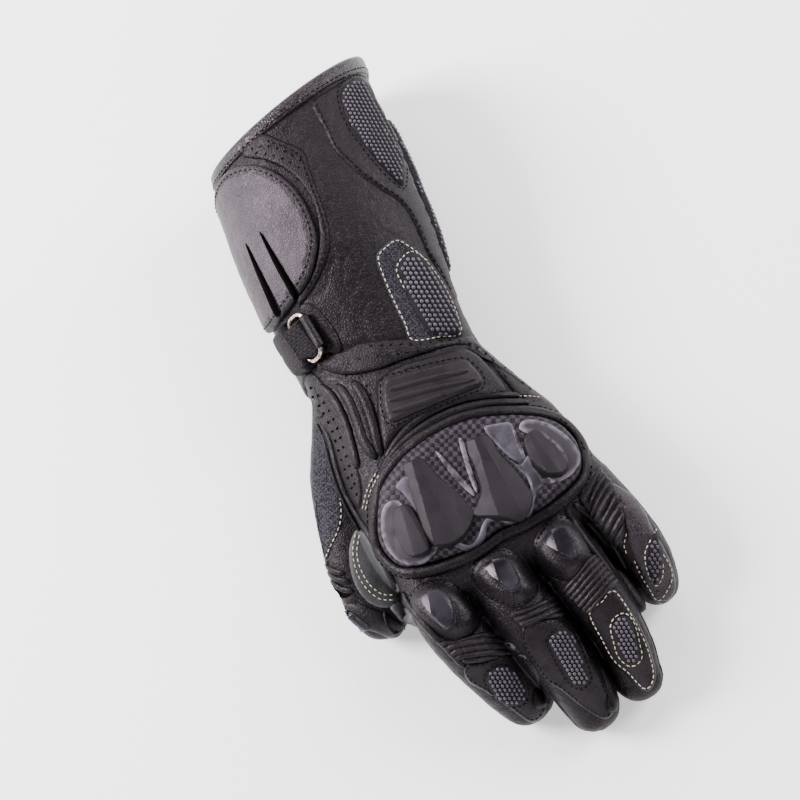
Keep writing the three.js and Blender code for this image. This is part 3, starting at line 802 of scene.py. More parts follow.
def attribute(tree, name):
    return node(tree, "ShaderNodeAttribute", attribute_name=name).outputs["Fac"]


def mix_colours(tree, share, first, second):
    made = node(tree, "ShaderNodeMix", data_type="RGBA")
    for key, value in (("Factor", share), ("A", first), ("B", second)):
        socket = next(s for s in made.inputs if s.name == key and s.enabled)
        if isinstance(value, bpy.types.NodeSocket):
            tree.links.new(value, socket)
        else:
            socket.default_value = value
    return next(s for s in made.outputs if s.enabled)


def leather(name, dark, light, cells=900.0, creases=0.35, relief=0.00012, rough=(0.5, 0.68),
            scuff_and_seam_shade=None, sheen=0.0, gloss=0.3, field=None):
    """Leather with grain and uneven shade. The colour along its outline is a dark painted seam shade on the
    dark leathers and a lighter scuffing on the palm panels; field is the dark and light colour of a paler
    field with a frayed border."""
    made, tree, shader, place = new_material(name)
    grain = effect(tree, "grain", {"Vector": place, "Cells per metre": cells, "Creases": creases})
    shade = scaled(tree, grain["Shade"], 0.0, 1.0, 0.3, 0.75)
    colour = mix_colours(tree, shade, linear(*dark), linear(*light))
    if field:
        mask = effect(tree, "fray", {"Vector": place, "Distance": attribute(tree, "edge_distance")})["Mask"]
        pale = mix_colours(tree, scaled(tree, grain["Shade"], 0.0, 1.0, 0.35, 0.65), linear(*field[0]),
                           linear(*field[1]))
        colour = mix_colours(tree, mask, colour, pale)
    # Along the outline: dark painted seam shade on most leathers, lighter scuffing on the palm panels
    if scuff_and_seam_shade:
        scuff_shade_highlight_mask = effect(tree, "edge_scuff_shade_highlight", {"Vector": place, "Distance": attribute(tree, "edge_distance"),
                                       "Reach": 0.9})["Mask"]
        colour = mix_colours(tree, scuff_shade_highlight_mask, colour, linear(*scuff_and_seam_shade))
    tree.links.new(colour, shader.inputs["Base Color"])
    tree.links.new(scaled(tree, grain["Shade"], *rough, 0.25, 0.8), shader.inputs["Roughness"])
    bump = node(tree, "ShaderNodeBump", {"Height": grain["Height"], "Distance": relief, "Strength": 1.0})
    tree.links.new(bump.outputs[0], shader.inputs["Normal"])
    shader.inputs["Specular IOR Level"].default_value = gloss
    shader.inputs["Specular Tint"].default_value = SHINE
    shader.inputs["Sheen Weight"].default_value = sheen
    shader.inputs["Sheen Roughness"].default_value = 0.4
    return made


def moulding(name, dark, light, rough, speckle=0.25, gloss=0.35, reach=0.7, painted_edge_highlight=0.35, edge=None):
    """Moulded plastic or rubber with a faint texture, uneven gloss and a highlight painted along its outline.
    """
    made, tree, shader, place = new_material(name)
    fine = node(tree, "ShaderNodeTexNoise", {"Vector": place, "Scale": 1400.0, "Detail": 3.0})
    slow = node(tree, "ShaderNodeTexNoise", {"Vector": place, "Scale": 55.0, "Detail": 4.0})
    shade = math_node(tree, "ADD", math_node(tree, "MULTIPLY", slow.outputs["Fac"], 1 - speckle),
                      math_node(tree, "MULTIPLY", fine.outputs["Fac"], speckle))
    scuff_shade_highlight_mask = effect(tree, "edge_scuff_shade_highlight", {"Vector": place, "Distance": attribute(tree, "edge_distance"),
                                   "Reach": reach})["Mask"]
    colour = mix_colours(tree, scaled(tree, shade, 0.0, 1.0, 0.35, 0.65), linear(*dark), linear(*light))
    # A highlight painted along the outline, in the edge colour or else the light colour
    colour = mix_colours(tree, math_node(tree, "MULTIPLY", scuff_shade_highlight_mask, painted_edge_highlight), colour, linear(*(edge or light)))
    tree.links.new(colour, shader.inputs["Base Color"])
    tree.links.new(scaled(tree, shade, rough - 0.05, rough + 0.08, 0.3, 0.7), shader.inputs["Roughness"])
    bump = node(tree, "ShaderNodeBump", {"Height": fine.outputs["Fac"], "Distance": 0.00003, "Strength": 0.6})
    tree.links.new(bump.outputs[0], shader.inputs["Normal"])
    shader.inputs["Specular IOR Level"].default_value = gloss
    shader.inputs["Specular Tint"].default_value = SHINE
    return made


def woven(name, dark, light, threads, relief, rough=0.75, flecks=0.0):
    """Woven cloth or carbon weave that follows the piece's own across and along lengths."""
    made, tree, shader, place = new_material(name)
    weave = effect(tree, "weave", {"Across": attribute(tree, "across"), "Along": attribute(tree, "along"),
                                   "Threads per metre": threads})
    fuzz = node(tree, "ShaderNodeTexNoise", {"Vector": place, "Scale": 700.0, "Detail": 4.0})
    fuzzy = scaled(tree, fuzz.outputs["Fac"], 0.4, 1.0, 0.35, 0.65)
    share = math_node(tree, "MULTIPLY", weave["Over"], fuzzy)
    fleck = node(tree, "ShaderNodeTexNoise", {"Vector": place, "Scale": 1150.0, "Detail": 1.0})
    loose = scaled(tree, fleck.outputs["Fac"], 0.0, 1.0, 0.42, 0.62)
    share = math_node(tree, "ADD", math_node(tree, "MULTIPLY", share, 1 - flecks),
                      math_node(tree, "MULTIPLY", loose, flecks))
    colour = mix_colours(tree, share, linear(*dark), linear(*light))
    tree.links.new(colour, shader.inputs["Base Color"])
    tree.links.new(scaled(tree, fuzz.outputs["Fac"], rough - 0.1, rough + 0.1, 0.3, 0.7),
                   shader.inputs["Roughness"])
    height = math_node(tree, "ADD", weave["Height"], math_node(tree, "MULTIPLY", fuzz.outputs["Fac"], 0.4))
    bump = node(tree, "ShaderNodeBump", {"Height": height, "Distance": relief, "Strength": 1.0})
    tree.links.new(bump.outputs[0], shader.inputs["Normal"])
    shader.inputs["Specular IOR Level"].default_value = 0.2
    shader.inputs["Specular Tint"].default_value = SHINE
    return made


def thread(name, dark, light, gloss=0.3, sheen=0.0):
    """Sewing thread with a light twist."""
    made, tree, shader, place = new_material(name)
    twist = node(tree, "ShaderNodeTexNoise", {"Vector": place, "Scale": 1600.0, "Detail": 2.0})
    colour = mix_colours(tree, scaled(tree, twist.outputs["Fac"], 0.0, 1.0, 0.35, 0.65), linear(*dark),
                         linear(*light))
    tree.links.new(colour, shader.inputs["Base Color"])
    tree.links.new(scaled(tree, twist.outputs["Fac"], 0.6, 0.85, 0.3, 0.7), shader.inputs["Roughness"])
    bump = node(tree, "ShaderNodeBump", {"Height": twist.outputs["Fac"], "Distance": 0.00006,
                                         "Strength": 0.8})
    tree.links.new(bump.outputs[0], shader.inputs["Normal"])
    shader.inputs["Specular IOR Level"].default_value = gloss
    shader.inputs["Sheen Weight"].default_value = sheen
    return made


def metal(name, dark, light):
    """Polished wire with fine scratches."""
    made, tree, shader, place = new_material(name)
    scratch = node(tree, "ShaderNodeTexNoise", {"Vector": place, "Scale": 900.0, "Detail": 5.0,
                                                "Roughness": 0.7})
    colour = mix_colours(tree, scaled(tree, scratch.outputs["Fac"], 0.0, 1.0, 0.35, 0.65), linear(*dark),
                         linear(*light))
    tree.links.new(colour, shader.inputs["Base Color"])
    tree.links.new(scaled(tree, scratch.outputs["Fac"], 0.18, 0.34, 0.3, 0.7), shader.inputs["Roughness"])
    shader.inputs["Metallic"].default_value = 1.0
    return made


def paper_floor(name):
    """Pale matt studio paper with a faint tooth."""
    made, tree, shader, place = new_material(name)
    tooth = node(tree, "ShaderNodeTexNoise", {"Vector": place, "Scale": 400.0, "Detail": 4.0})
    colour = mix_colours(tree, scaled(tree, tooth.outputs["Fac"], 0.0, 1.0, 0.3, 0.7), linear(246, 246, 247),
                         linear(252, 252, 252))
    tree.links.new(colour, shader.inputs["Base Color"])
    shader.inputs["Roughness"].default_value = 0.9
    shader.inputs["Specular IOR Level"].default_value = 0.1
    shader.inputs["Emission Color"].default_value = (1.0, 1.0, 1.0, 1.0)
    shader.inputs["Emission Strength"].default_value = 0.4
    return made


materials.update({
    "hide": leather("back leather", (5, 3, 5), (15, 10, 14), 820.0, 0.1, 0.00015, (0.46, 0.58), gloss=0.2),
    # Dark painted seam shade along each panel's outline
    "panel": leather("panel leather", (5, 3, 5), (15, 10, 14), 820.0, 0.1, 0.00015, (0.46, 0.58),
                     scuff_and_seam_shade=(2, 1, 2), gloss=0.2),
    "binding": leather("binding leather", (10, 6, 9), (26, 19, 25), 900.0, 0.2, 0.0002, (0.34, 0.46),
                       gloss=0.35),
    # Dark painted seam shade along each panel's outline
    "smooth panel": leather("smooth panel leather", (4, 2, 4), (13, 8, 12), 950.0, 0.06, 0.0001,
                            (0.42, 0.52), scuff_and_seam_shade=(2, 1, 2), gloss=0.25),
    "welt": leather("welt leather", (3, 2, 3), (12, 8, 11), 900.0, 0.1, 0.0001, (0.44, 0.54), gloss=0.19),
    "palm": leather("palm leather", (54, 54, 56), (74, 74, 77), 1100.0, 0.3, 0.00006, (0.58, 0.75)),
    "palm panel": leather("palm panel leather", (46, 46, 48), (62, 62, 65), 1100.0, 0.2, 0.00005,
                          (0.55, 0.7), scuff_and_seam_shade=(84, 84, 86)),
    "lining": leather("lining cloth", (10, 9, 10), (24, 22, 24), 2200.0, 0.0, 0.0001, (0.8, 0.95), sheen=0.1),
    # Dark painted seam shade along the flap's outline
    "flap": leather("flap leather", (14, 10, 13), (30, 24, 29), 850.0, 0.3, 0.00018, (0.45, 0.6),
                    scuff_and_seam_shade=(8, 5, 8), field=((42, 36, 42), (72, 63, 71))),
    "moulded": moulding("moulded plastic", (5, 3, 5), (13, 10, 13), 0.5, gloss=0.25),
    "insert": moulding("satin insert", (14, 12, 15), (22, 19, 23), 0.58, speckle=0.1, gloss=0.2),
    # Pale along its outline: partly the rim's own pale lilac, partly a painted highlight
    "rim": moulding("pale rim", (16, 14, 17), (40, 36, 42), 0.55, gloss=0.2, reach=2.4, painted_edge_highlight=1.0,
                    edge=(112, 104, 116)),
    # A highlight streak painted along its outline
    "smoke": moulding("smoky plastic", (26, 24, 29), (66, 63, 72), 0.5, speckle=0.15, gloss=0.25, reach=1.6,
                      painted_edge_highlight=0.8, edge=(84, 79, 89)),
    "bead": moulding("bead rubber", (42, 38, 46), (66, 61, 70), 0.32, speckle=0.1, gloss=0.5),
    # A reflection painted along the caps' outlines
    "cap": moulding("cap plastic", (10, 9, 12), (34, 32, 38), 0.3, speckle=0.1, gloss=0.2, reach=0.9, painted_edge_highlight=0.8,
                    edge=(60, 58, 66)),
    "hole": moulding("hole shade", (1, 1, 1), (3, 2, 3), 0.9, gloss=0.05),
    "textile": woven("quilted textile", (3, 3, 4), (15, 14, 16), 1200.0, 0.00015, 0.85),
    "bead cloth": woven("bead cloth", (9, 8, 11), (22, 20, 26), 1100.0, 0.00015),
    "carbon": woven("carbon weave", (2, 1, 2), (50, 44, 52), 480.0, 0.00008, 0.6),
    "denim": woven("stretch denim", (8, 8, 10), (56, 54, 62), 1000.0, 0.00022, 0.85, flecks=0.7),
    "cream": thread("cream thread", (150, 143, 118), (206, 200, 174), sheen=0.3),
    "black": thread("black thread", (1, 1, 1), (4, 3, 4), gloss=0.08),
    "metal": metal("warm metal", (188, 160, 150), (236, 212, 202)),
    # Leather painted lighter where light falls on it, with a dark painted seam shade along its outline
    "lit": leather("leather painted lighter where lit", (22, 17, 21), (42, 35, 41), 900.0, 0.6, 0.0002, (0.4, 0.55),
                   scuff_and_seam_shade=(6, 4, 6)),
    "ribbed": woven("ribbed webbing", (7, 6, 8), (26, 24, 27), 700.0, 0.0004, 0.8),
    "paper": paper_floor("studio paper"),
})


# Pieces that repeat along a line or over a surface

def named_vector(tree, name):
    made = node(tree, "GeometryNodeInputNamedAttribute", {"Name": name}, data_type="FLOAT_VECTOR")
    return next(s for s in made.outputs if s.enabled and s.name == "Attribute")


def repeat_tree(name, along_line):
    """A small rounded shape on every point, or at even steps along a line, lying along it."""
    tree = bpy.data.node_groups.new(name, "GeometryNodeTree")
    tree.interface.new_socket("Geometry", in_out="INPUT", socket_type="NodeSocketGeometry")
    for key in ("Length", "Width", "Height", "Spacing"):
        tree.interface.new_socket(key, in_out="INPUT", socket_type="NodeSocketFloat")
    tree.interface.new_socket("Finish", in_out="INPUT", socket_type="NodeSocketMaterial")
    tree.interface.new_socket("Geometry", in_out="OUTPUT", socket_type="NodeSocketGeometry")
    given = tree.nodes.new("NodeGroupInput").outputs
    places = given["Geometry"]
    way = named_vector(tree, "way")
    if along_line:
        line = node(tree, "GeometryNodeMeshToCurve", {"Mesh": places}).outputs[0]
        places = node(tree, "GeometryNodeResampleCurve", {"Curve": line, "Length": given["Spacing"]},
                      mode="LENGTH").outputs[0]
        way = tree.nodes.new("GeometryNodeInputTangent").outputs[0]
    lying = node(tree, "FunctionNodeAlignRotationToVector", {"Vector": way}, axis="X").outputs[0]
    outward = {"Rotation": lying, "Vector": named_vector(tree, "out")}
    standing = node(tree, "FunctionNodeAlignRotationToVector", outward, axis="Z", pivot_axis="X").outputs[0]
    shape = node(tree, "GeometryNodeMeshIcoSphere", {"Radius": 0.5, "Subdivisions": 2}).outputs[0]
    size = node(tree, "ShaderNodeCombineXYZ", {0: given["Length"], 1: given["Width"], 2: given["Height"]})
    placed = node(tree, "GeometryNodeInstanceOnPoints", {"Points": places, "Instance": shape,
                                                         "Rotation": standing, "Scale": size.outputs[0]})
    real = node(tree, "GeometryNodeRealizeInstances", {"Geometry": placed.outputs[0]}).outputs[0]
    smooth = node(tree, "GeometryNodeSetShadeSmooth", {"Geometry": real}).outputs[0]
    finished = node(tree, "GeometryNodeSetMaterial", {"Geometry": smooth, "Material": given["Finish"]})
    tree.links.new(finished.outputs[0], tree.nodes.new("NodeGroupOutput").inputs[0])
    return tree


STITCHES = repeat_tree("stitches", True)
BEADS = repeat_tree("beads", False)


def repeated(name, tree, lines, sizes, finish):
    """Stitches along lines, or beads and holes at points. Each line is its points, the way out of the
    glove there and, for beads, the way along; sizes are in millimetres."""
    points = np.concatenate([line[0] for line in lines])
    out = np.concatenate([line[1] for line in lines])
    way = np.concatenate([line[2] if len(line) > 2 else line[1] for line in lines])
    edges = []
    start = 0
    for line in lines:
        if tree == STITCHES:
            edges += [(start + i, start + i + 1) for i in range(len(line[0]) - 1)]
        start += len(line[0])
    mesh = plain_mesh(name, (points + PART_TO_FRAME) * MM, [], edges)
    for key, vectors in (("out", out), ("way", way)):
        mesh.attributes.new(key, "FLOAT_VECTOR", "POINT").data.foreach_set("vector", vectors.ravel())
    made = bpy.data.objects.new(name, mesh)
    bpy.context.scene.collection.objects.link(made)
    modifier = made.modifiers.new("repeat", "NODES")
    modifier.node_group = tree
    given = {**{key: value * MM for key, value in sizes.items()}, "Finish": materials[finish]}
    for item in tree.interface.items_tree:
        if item.in_out == "INPUT" and item.name in given:
            modifier[item.identifier] = given[item.name]
    depsgraph = bpy.context.evaluated_depsgraph_get()
    whole = bpy.data.meshes.new_from_object(made.evaluated_get(depsgraph))
    made.modifiers.clear()
    made.data = whole
    bpy.data.meshes.remove(mesh)
    return settle(made)


# The leather body of the glove

# Soft swellings and pressed lines of the back, by the pixels where the photograph shows them
SWELLS = (
    # height, softness, outline
    (1.6, 9, [(340, 380), (352, 378), (372, 400), (384, 455), (374, 470), (356, 440), (344, 405)]),
    (1.2, 6, [(330, 596), (352, 600), (384, 612), (408, 632), (400, 638), (372, 630), (345, 622),
              (333, 610)]),
)
PRESSED = (
    # depth, width, line
    (1.1, 1.6, [(320, 358), (345, 351), (362, 344), (400, 341), (440, 338), (475, 338), (503, 345)]),
    (0.9, 1.5, [(325, 371), (350, 377), (380, 371), (402, 362), (430, 353), (458, 346), (478, 350)]),
    (0.9, 1.5, [(478, 350), (492, 366), (505, 384), (520, 398), (538, 400)]),
)


def shell():
    """The outside of the whole hand, gauntlet and fingers as one smooth skin of points and triangles."""
    heights = np.concatenate([[-103.0, -101.5, -99.0], np.arange(-96.0, HEM_Y + 6.0, 4.0)])
    parts = [loft([trunk_ring(y, 96) for y in heights])]
    parts += [loft(finger_rings(table, 44, 44)) for _, table in DIGITS.values()]
    made = scratch_object("skin", *merge(parts))
    remesh = made.modifiers.new("one skin", "REMESH")
    remesh.mode = "VOXEL"
    remesh.voxel_size = BODY_CELL
    smooth = made.modifiers.new("soft creases", "SMOOTH")
    smooth.factor = 0.5
    smooth.iterations = 7
    return triangles_of(made)


def seam_height(points):
    """How far points lie above the seam between the back and the palm, in millimetres."""
    rows = np.array([row_at(TRUNK, float(np.clip(y, TRUNK[0, 0], TRUNK[-1, 0])))
                     for y in np.arange(-103.0, 141.0)])
    at = np.clip(np.round(points[:, 1] + 103).astype(int), 0, len(rows) - 1)
    _, x, half, z, rise, _, _, power, seam = rows[at].T
    inner = np.abs((points[:, 0] - x) / half) ** power + np.abs((points[:, 2] - z) / rise) ** power
    above = points[:, 2] - seam
    nearest = np.full(len(points), 1e9)
    for roll, table in DIGITS.values():
        centres, side, up, _, wide, _ = stations(table, 44)
        turned = up * math.cos(roll) - side * math.sin(roll)
        for i in range(len(centres)):
            away = points - centres[i]
            far = np.linalg.norm(away, axis=1) / wide[i]
            closer = far < nearest
            nearest = np.where(closer, far, nearest)
            finger_above = away @ turned[i]
            above = np.where(closer & (inner > 1.06), finger_above, above)
    return above


def sculpt(points, triangles):
    """Soft folds, swellings and pressed seam lines on the skin."""
    normals = vertex_normals(points, triangles)
    facing = ((EYE - points) * normals).sum(1) > 0
    places = seen_at(points) / PIXELS_PER_MM
    rise = np.zeros(len(points))
    for height, soft, outline in SWELLS:
        loop = curve_through(np.array(outline) / PIXELS_PER_MM, 1.5, closed=True)
        depth = distance_to(places, loop, True) * inside(places, loop)
        t = np.clip(depth / soft, 0, 1)
        rise += facing * height * t * t * (3 - 2 * t)
    for depth, width, line in PRESSED:
        path = curve_through(np.array(line) / PIXELS_PER_MM, 2.0)
        away = distance_to(places, path, False)
        rise -= facing * depth * np.exp(-((away / width) ** 2))
    wander = np.array([noise.noise(Vector(p) / 17) * 0.6 + noise.noise(Vector(p) / 6.5) * 0.25
                       for p in points])
    crease = np.abs([noise.noise(Vector((p[0] / 9, p[1] / 15, p[2] / 9))) for p in points])
    wander -= 0.32 * np.exp(-((crease / 0.05) ** 2))
    points = points + normals * (rise + wander)[:, None]
    points[:, 2] = np.maximum(points[:, 2], SOLE)
    return points


def cut_at_seam(points, triangles, above):
    """The triangles above and below the seam, with new points along it, and the seam's short edges."""
    points = list(points)
    new_points = {}

    def on_seam(a, b):
        key = (min(a, b), max(a, b))
        if key not in new_points:
            share = above[a] / (above[a] - above[b])
            points.append(points[a] * (1 - share) + points[b] * share)
            new_points[key] = len(points) - 1
        return new_points[key]

    signs = above[triangles] >= 0
    total = signs.sum(1)
    upper = triangles[total == 3].tolist()
    lower = triangles[total == 0].tolist()
    seam = []
    for corners, high in zip(triangles[(total > 0) & (total < 3)], signs[(total > 0) & (total < 3)]):
        lone = int(np.flatnonzero(high == (high.sum() == 1))[0])
        a, b, c = (int(corners[(lone + k) % 3]) for k in range(3))
        ab = on_seam(a, b)
        ac = on_seam(a, c)
        tip, rest = (upper, lower) if high[lone] else (lower, upper)
        tip.append([a, ab, ac])
        rest += [[ab, b, c], [ab, c, ac]]
        seam.append((ab, ac))
    return np.array(points), np.array(upper), np.array(lower), seam


def chains(links):
    """Short edges joined into long lines."""
    following = {}
    for a, b in links:
        following.setdefault(a, []).append(b)
        following.setdefault(b, []).append(a)
    found = []
    left = set(following)
    ends = [p for p in following if len(following[p]) == 1]
    for start in ends + sorted(following):
        if start not in left:
            continue
        line = [start]
        left.discard(start)
        while True:
            ahead = [p for p in following[line[-1]] if p in left]
            if not ahead:
                break
            line.append(ahead[0])
            left.discard(ahead[0])
        found.append((line, line[0] in following[line[-1]]))
    return found


def keep_used(points, triangles):
    used = np.unique(triangles)
    number = np.full(len(points), -1)
    number[used] = np.arange(len(used))
    return points[used], number[triangles]


def leather_sheet(name, points, triangles, finish, replaces):
    """One half of the skin with its thickness, leather outside and lining inside."""
    points, triangles = keep_used(points, triangles)
    made = piece(name, points, [tuple(t) for t in triangles.tolist()], finish, replaces)
    made.data.materials.append(materials["lining"])
    wall = made.modifiers.new("thickness", "SOLIDIFY")
    wall.thickness = LEATHER_THICK * MM
    wall.offset = -1
    wall.material_offset = 1
    depsgraph = bpy.context.evaluated_depsgraph_get()
    thick = bpy.data.meshes.new_from_object(made.evaluated_get(depsgraph))
    made.modifiers.clear()
    old = made.data
    made.data = thick
    bpy.data.meshes.remove(old)
    return made


DIGIT_NAMES = tuple(DIGITS)


def short_of_hem(points):
    """Whether points lie short of the cuff's slanting, bowed mouth."""
    _, x, half, z, rise, slant, bow, _, _ = row_at(TRUNK, HEM_Y)
    across = np.clip((points[:, 0] - x) / half, -1, 1)
    up = np.clip((points[:, 2] - z) / rise, 0, 1)
    return points[:, 1] - slant * across + bow * up < HEM_Y


def leather_body():
    points, triangles = shell()
    points = sculpt(points, triangles)
    lay("body", points, triangles)
    triangles = triangles[short_of_hem(points)[triangles].all(1)]
    above = seam_height(points)
    above = relax(above[:, None], edges_of(triangles), 6)[:, 0]
    points, upper, lower, seam = cut_at_seam(points, triangles, above)
    leather_sheet("back_leather", points, upper, "hide",
                  ["gauntlet_back", "hand_back", *[f"{n}_back" for n in DIGIT_NAMES]])
    leather_sheet("palm_leather", points, lower, "palm",
                  ["gauntlet_palm", "hand_palm", *[f"{n}_palm" for n in DIGIT_NAMES]])
    return points, seam


def seam_welt(points, seam):
    """The thin piping sewn into the seam between the back and the palm."""
    parts = []
    for line, closed in chains(seam):
        if len(line) < 40:
            continue
        path = points[line]
        count = len(path)
        links = np.array([(i, (i + 1) % count) for i in range(count if closed else count - 1)])
        path = relax(path, links, 12)
        path = curve_through(path[::3], 1.3, closed)
        out = np.array([tuple(ground["body"].find_nearest(Vector(p))[1]) for p in path])
        count = len(path)
        links = np.array([(i, (i + 1) % count) for i in range(count if closed else count - 1)])
        parts.append(tube(path, unit(relax(out, links, 4)), 0.75, 7, closed))
    points, faces = merge(parts)
    points[:, 2] = np.maximum(points[:, 2], 0.4)
    piece("side_piping", points, faces, "welt")


seam_points, seam_links = leather_body()
seam_welt(seam_points, seam_links)


# Panels, pads and plates

def fan_panel(name, outline, apex, tip, crown, finish, slot, edge=0.4, slope=1.2, **laid):
    """A plate with flat facets that fan out from an apex."""
    return panel(name, outline, fanned(edge, slope, apex, tip, crown), finish, slot, sharp=9,
                 ridges=fan_ridges(apex, tip, crown), **laid)


def panel(name, outline, height, finish, slot="black_leather", view="photo", replaces=(), carries=False,
          fill=None, sharp=None, **laid):
    points, faces, values, top, triangles = drape(view, outline, height, **laid)
    points[:, 2] = np.maximum(points[:, 2], 0.0)
    made = piece(name, points, faces, finish, replaces, sharp, values)
    if carries:
        lay(name, top, triangles.tolist())
    return made


WELT_SIDES = 9


def welt(name, path, radius, replaces=(), closed=False, on=("body",), lift=0.3, flat=0.8, ends=0.35,
         carries=False):
    """A roll or piping of leather along a line seen in the photograph."""
    line, out = trail("photo", path, 1.2, closed, on, lift * radius)
    size = radius if closed else tapered(len(line), radius, ends)
    points, faces = tube(line, out, size, WELT_SIDES, closed, flat)
    if carries:
        lay(name, points, faces)
    return piece(name, points, faces, "welt", replaces)


# Outlines and lines by the photograph's pixels, unless they say otherwise
HEM_BEADS = [(341, 92), (347, 83), (358, 78), (367, 83), (374, 94), (381, 104), (387, 115), (394, 122),
             (399, 135), (402, 150), (404, 167), (403, 186), (392, 177), (378, 162), (363, 143), (351, 126),
             (343, 108)]
WRIST_DENIM = [(376, 258), (384, 246), (397, 238), (411, 245), (424, 255), (440, 275), (452, 296), (460, 316),
               (462, 335), (440, 339), (412, 342), (403, 324), (393, 304), (383, 281)]
WRIST_BEADS = [(398, 270), (404, 258), (413, 253), (425, 261), (437, 276), (447, 292), (455, 305), (460, 320),
               (461, 333), (450, 336), (436, 335), (424, 325), (413, 307), (405, 286)]
CRESCENT = [(262, 134), (282, 141), (303, 151), (308, 165), (315, 185), (322, 205), (328, 225), (330, 242),
            (328, 256), (321, 274), (311, 292), (300, 305), (297, 297), (309, 280), (317, 256), (319, 232),
            (314, 206), (303, 186), (286, 170), (263, 160), (243, 157), (246, 146)]
WRIST_BAND = [(320, 357), (345, 350), (362, 343), (400, 339), (440, 337), (475, 337), (501, 345), (516, 360),
              (529, 374), (533, 386), (528, 396), (518, 396), (505, 382), (492, 365), (478, 349), (458, 345),
              (430, 352), (402, 361), (380, 369), (350, 375), (326, 370)]
BADGE_PAD = [(379, 380), (400, 366), (430, 357), (458, 351), (474, 354), (490, 370), (506, 391), (496, 398),
             (476, 400), (450, 406), (422, 418), (404, 429), (393, 441), (386, 452), (380, 430), (377, 402)]
BADGE = [(385, 381), (397, 376), (430, 367), (462, 361), (472, 367), (481, 378), (481, 385), (470, 390),
         (440, 402), (412, 414), (393, 422), (388, 418), (384, 402)]

CUFF_SIDE = [(312, 103), (318, 118), (327, 135), (334, 149), (346, 162), (361, 176), (381, 190), (398, 201),
             (410, 216), (420, 236), (427, 253), (438, 271), (447, 288), (451, 300), (458, 296), (452, 272),
             (446, 248), (437, 220), (426, 190), (414, 160), (404, 138), (390, 116), (376, 98), (364, 84),
             (350, 78), (332, 88)]
panel("cuff_side_panel", CUFF_SIDE, rounded(0.2, 1.2, 2.2), "panel", carries=True)
panel("hem_bead_pad", HEM_BEADS, rounded(0.3, 2.6, 6), "bead cloth", "beaded_rubber",
      replaces=["hem_bead_pad"], carries=True, fill=0.7, on=("body", "cuff_side_panel"))
panel("edge_bead_pad", [(-6, 121), (5, 112), (9, 92), (10, 72), (5, 50), (-7, 38), (-18, 45), (-23, 66),
                        (-23, 96), (-17, 116)], rounded(0.3, 2.6, 6), "bead cloth", "beaded_rubber", "around",
      ["edge_bead_pad"], carries=True, fill=0.7, cell=1.3)
panel("wrist_denim", WRIST_DENIM, rounded(0.3, 1.0, 1.2), "denim", "stretch_denim",
      replaces=["wrist_pad_border"], carries=True)
panel("wrist_bead_pad", WRIST_BEADS, rounded(0.5, 2.6, 6), "bead cloth", "beaded_rubber",
      replaces=["wrist_bead_pad"], carries=True, fill=0.7, on=("body", "wrist_denim"))
panel("flap_crescent", CRESCENT, rounded(0.3, 1.1, 1.4), "panel", carries=True)
FLAP_AROUND = [(121, 114), (108, 106), (99, 93), (97, 79), (101, 65), (114, 54), (132, 48), (158, 45),
               (184, 50), (193, 70), (193, 95), (181, 112), (160, 117), (140, 118)]
FLAP_SLITS = [(1.8, 0.9, [(247, 247), (257, 268), (268, 292), (277, 313)]),
              (1.8, 1.0, [(261, 235), (273, 256), (285, 277), (297, 298)])]
panel("closure_flap", FLAP_AROUND, with_slits(rounded(1.6, 3.0, 2.2), FLAP_SLITS), "flap", "flap_rubber",
      "around", ["closure_flap"], carries=True, cell=0.7)
# Dark sheets of painted shade laid in the flap's slits
for name, outline in {
        "flap_slit_1": [(246, 246), (248, 246), (259, 268), (272, 292), (281, 311), (279, 317), (274, 314),
                        (265, 294), (255, 270)],
        "flap_slit_2": [(260, 234), (262, 234), (275, 255), (288, 276), (300, 295), (298, 301), (294, 300),
                        (282, 279), (271, 258)]}.items():
    panel(name, outline, beveled(0.15, 0.2, 0.2), "hole", "flap_rubber", on=("closure_flap",), cell=0.4,
          smoothing=0)
panel("wrist_band", WRIST_BAND, rounded(0.3, 1.0, 1.4), "panel", carries=True)
panel("badge_pad", BADGE_PAD, rounded(0.4, 2.8, 3.4), "panel", replaces=["badge_pad"], carries=True,
      on=("body", "wrist_band"), fill=0.6)
panel("wrist_badge", BADGE, beveled(0.8, 1.0, 1.9), "moulded", "moulded_plastic", replaces=["wrist_badge"],
      carries=True, on=("badge_pad", "body"), cell=0.7, sharp=28)
BADGE_BARS = {
    "badge_bar_1": [(393, 386), (430, 376), (463, 369), (466, 373), (431, 381), (394, 391)],
    "badge_bar_2": [(392, 397), (430, 386), (471, 378), (471, 382), (431, 392), (393, 402)],
    "badge_bar_3": [(394, 408), (420, 400), (442, 393), (443, 397), (420, 406), (395, 413)],
}
for name, outline in BADGE_BARS.items():
    panel(name, outline, beveled(0.2, 0.9, 0.8), "moulded", "moulded_plastic",
          on=("wrist_badge", "badge_pad"), cell=0.5, sharp=28)

# The rolls of leather behind the knuckles and the fan of folds at the thumb's side
ARCS = {
    "guard_roll_1": (2.0, [(386, 459), (398, 440), (418, 420), (448, 404), (482, 396), (519, 396)]),
    "guard_roll_2": (2.0, [(382, 470), (397, 449), (420, 429), (450, 413), (486, 404), (528, 403)]),
    "guard_roll_3": (2.1, [(378, 482), (394, 458), (418, 438), (449, 422), (487, 412), (534, 411)]),
}
for name, (radius, path) in ARCS.items():
    welt(name, path, radius, carries=True, ends=0.5,
         replaces={"guard_roll_1": ["guard_welt_2"], "guard_roll_3": ["guard_welt_1"]}.get(name, ()))
FOLDS = {
    "fold_1": (2.3, [(320, 384), (334, 399), (345, 421), (352, 444), (358, 468)], ["ridge_1"]),
    "fold_2": (2.4, [(337, 384), (349, 400), (358, 423), (365, 443), (376, 459)], ["ridge_2"]),
    "fold_3": (2.4, [(353, 381), (364, 398), (372, 420), (377, 440), (381, 456)], ["ridge_3"]),
}
for name, (radius, path, solids) in FOLDS.items():
    welt(name, path, radius, replaces=solids, ends=0.3, flat=0.7, lift=0.1)

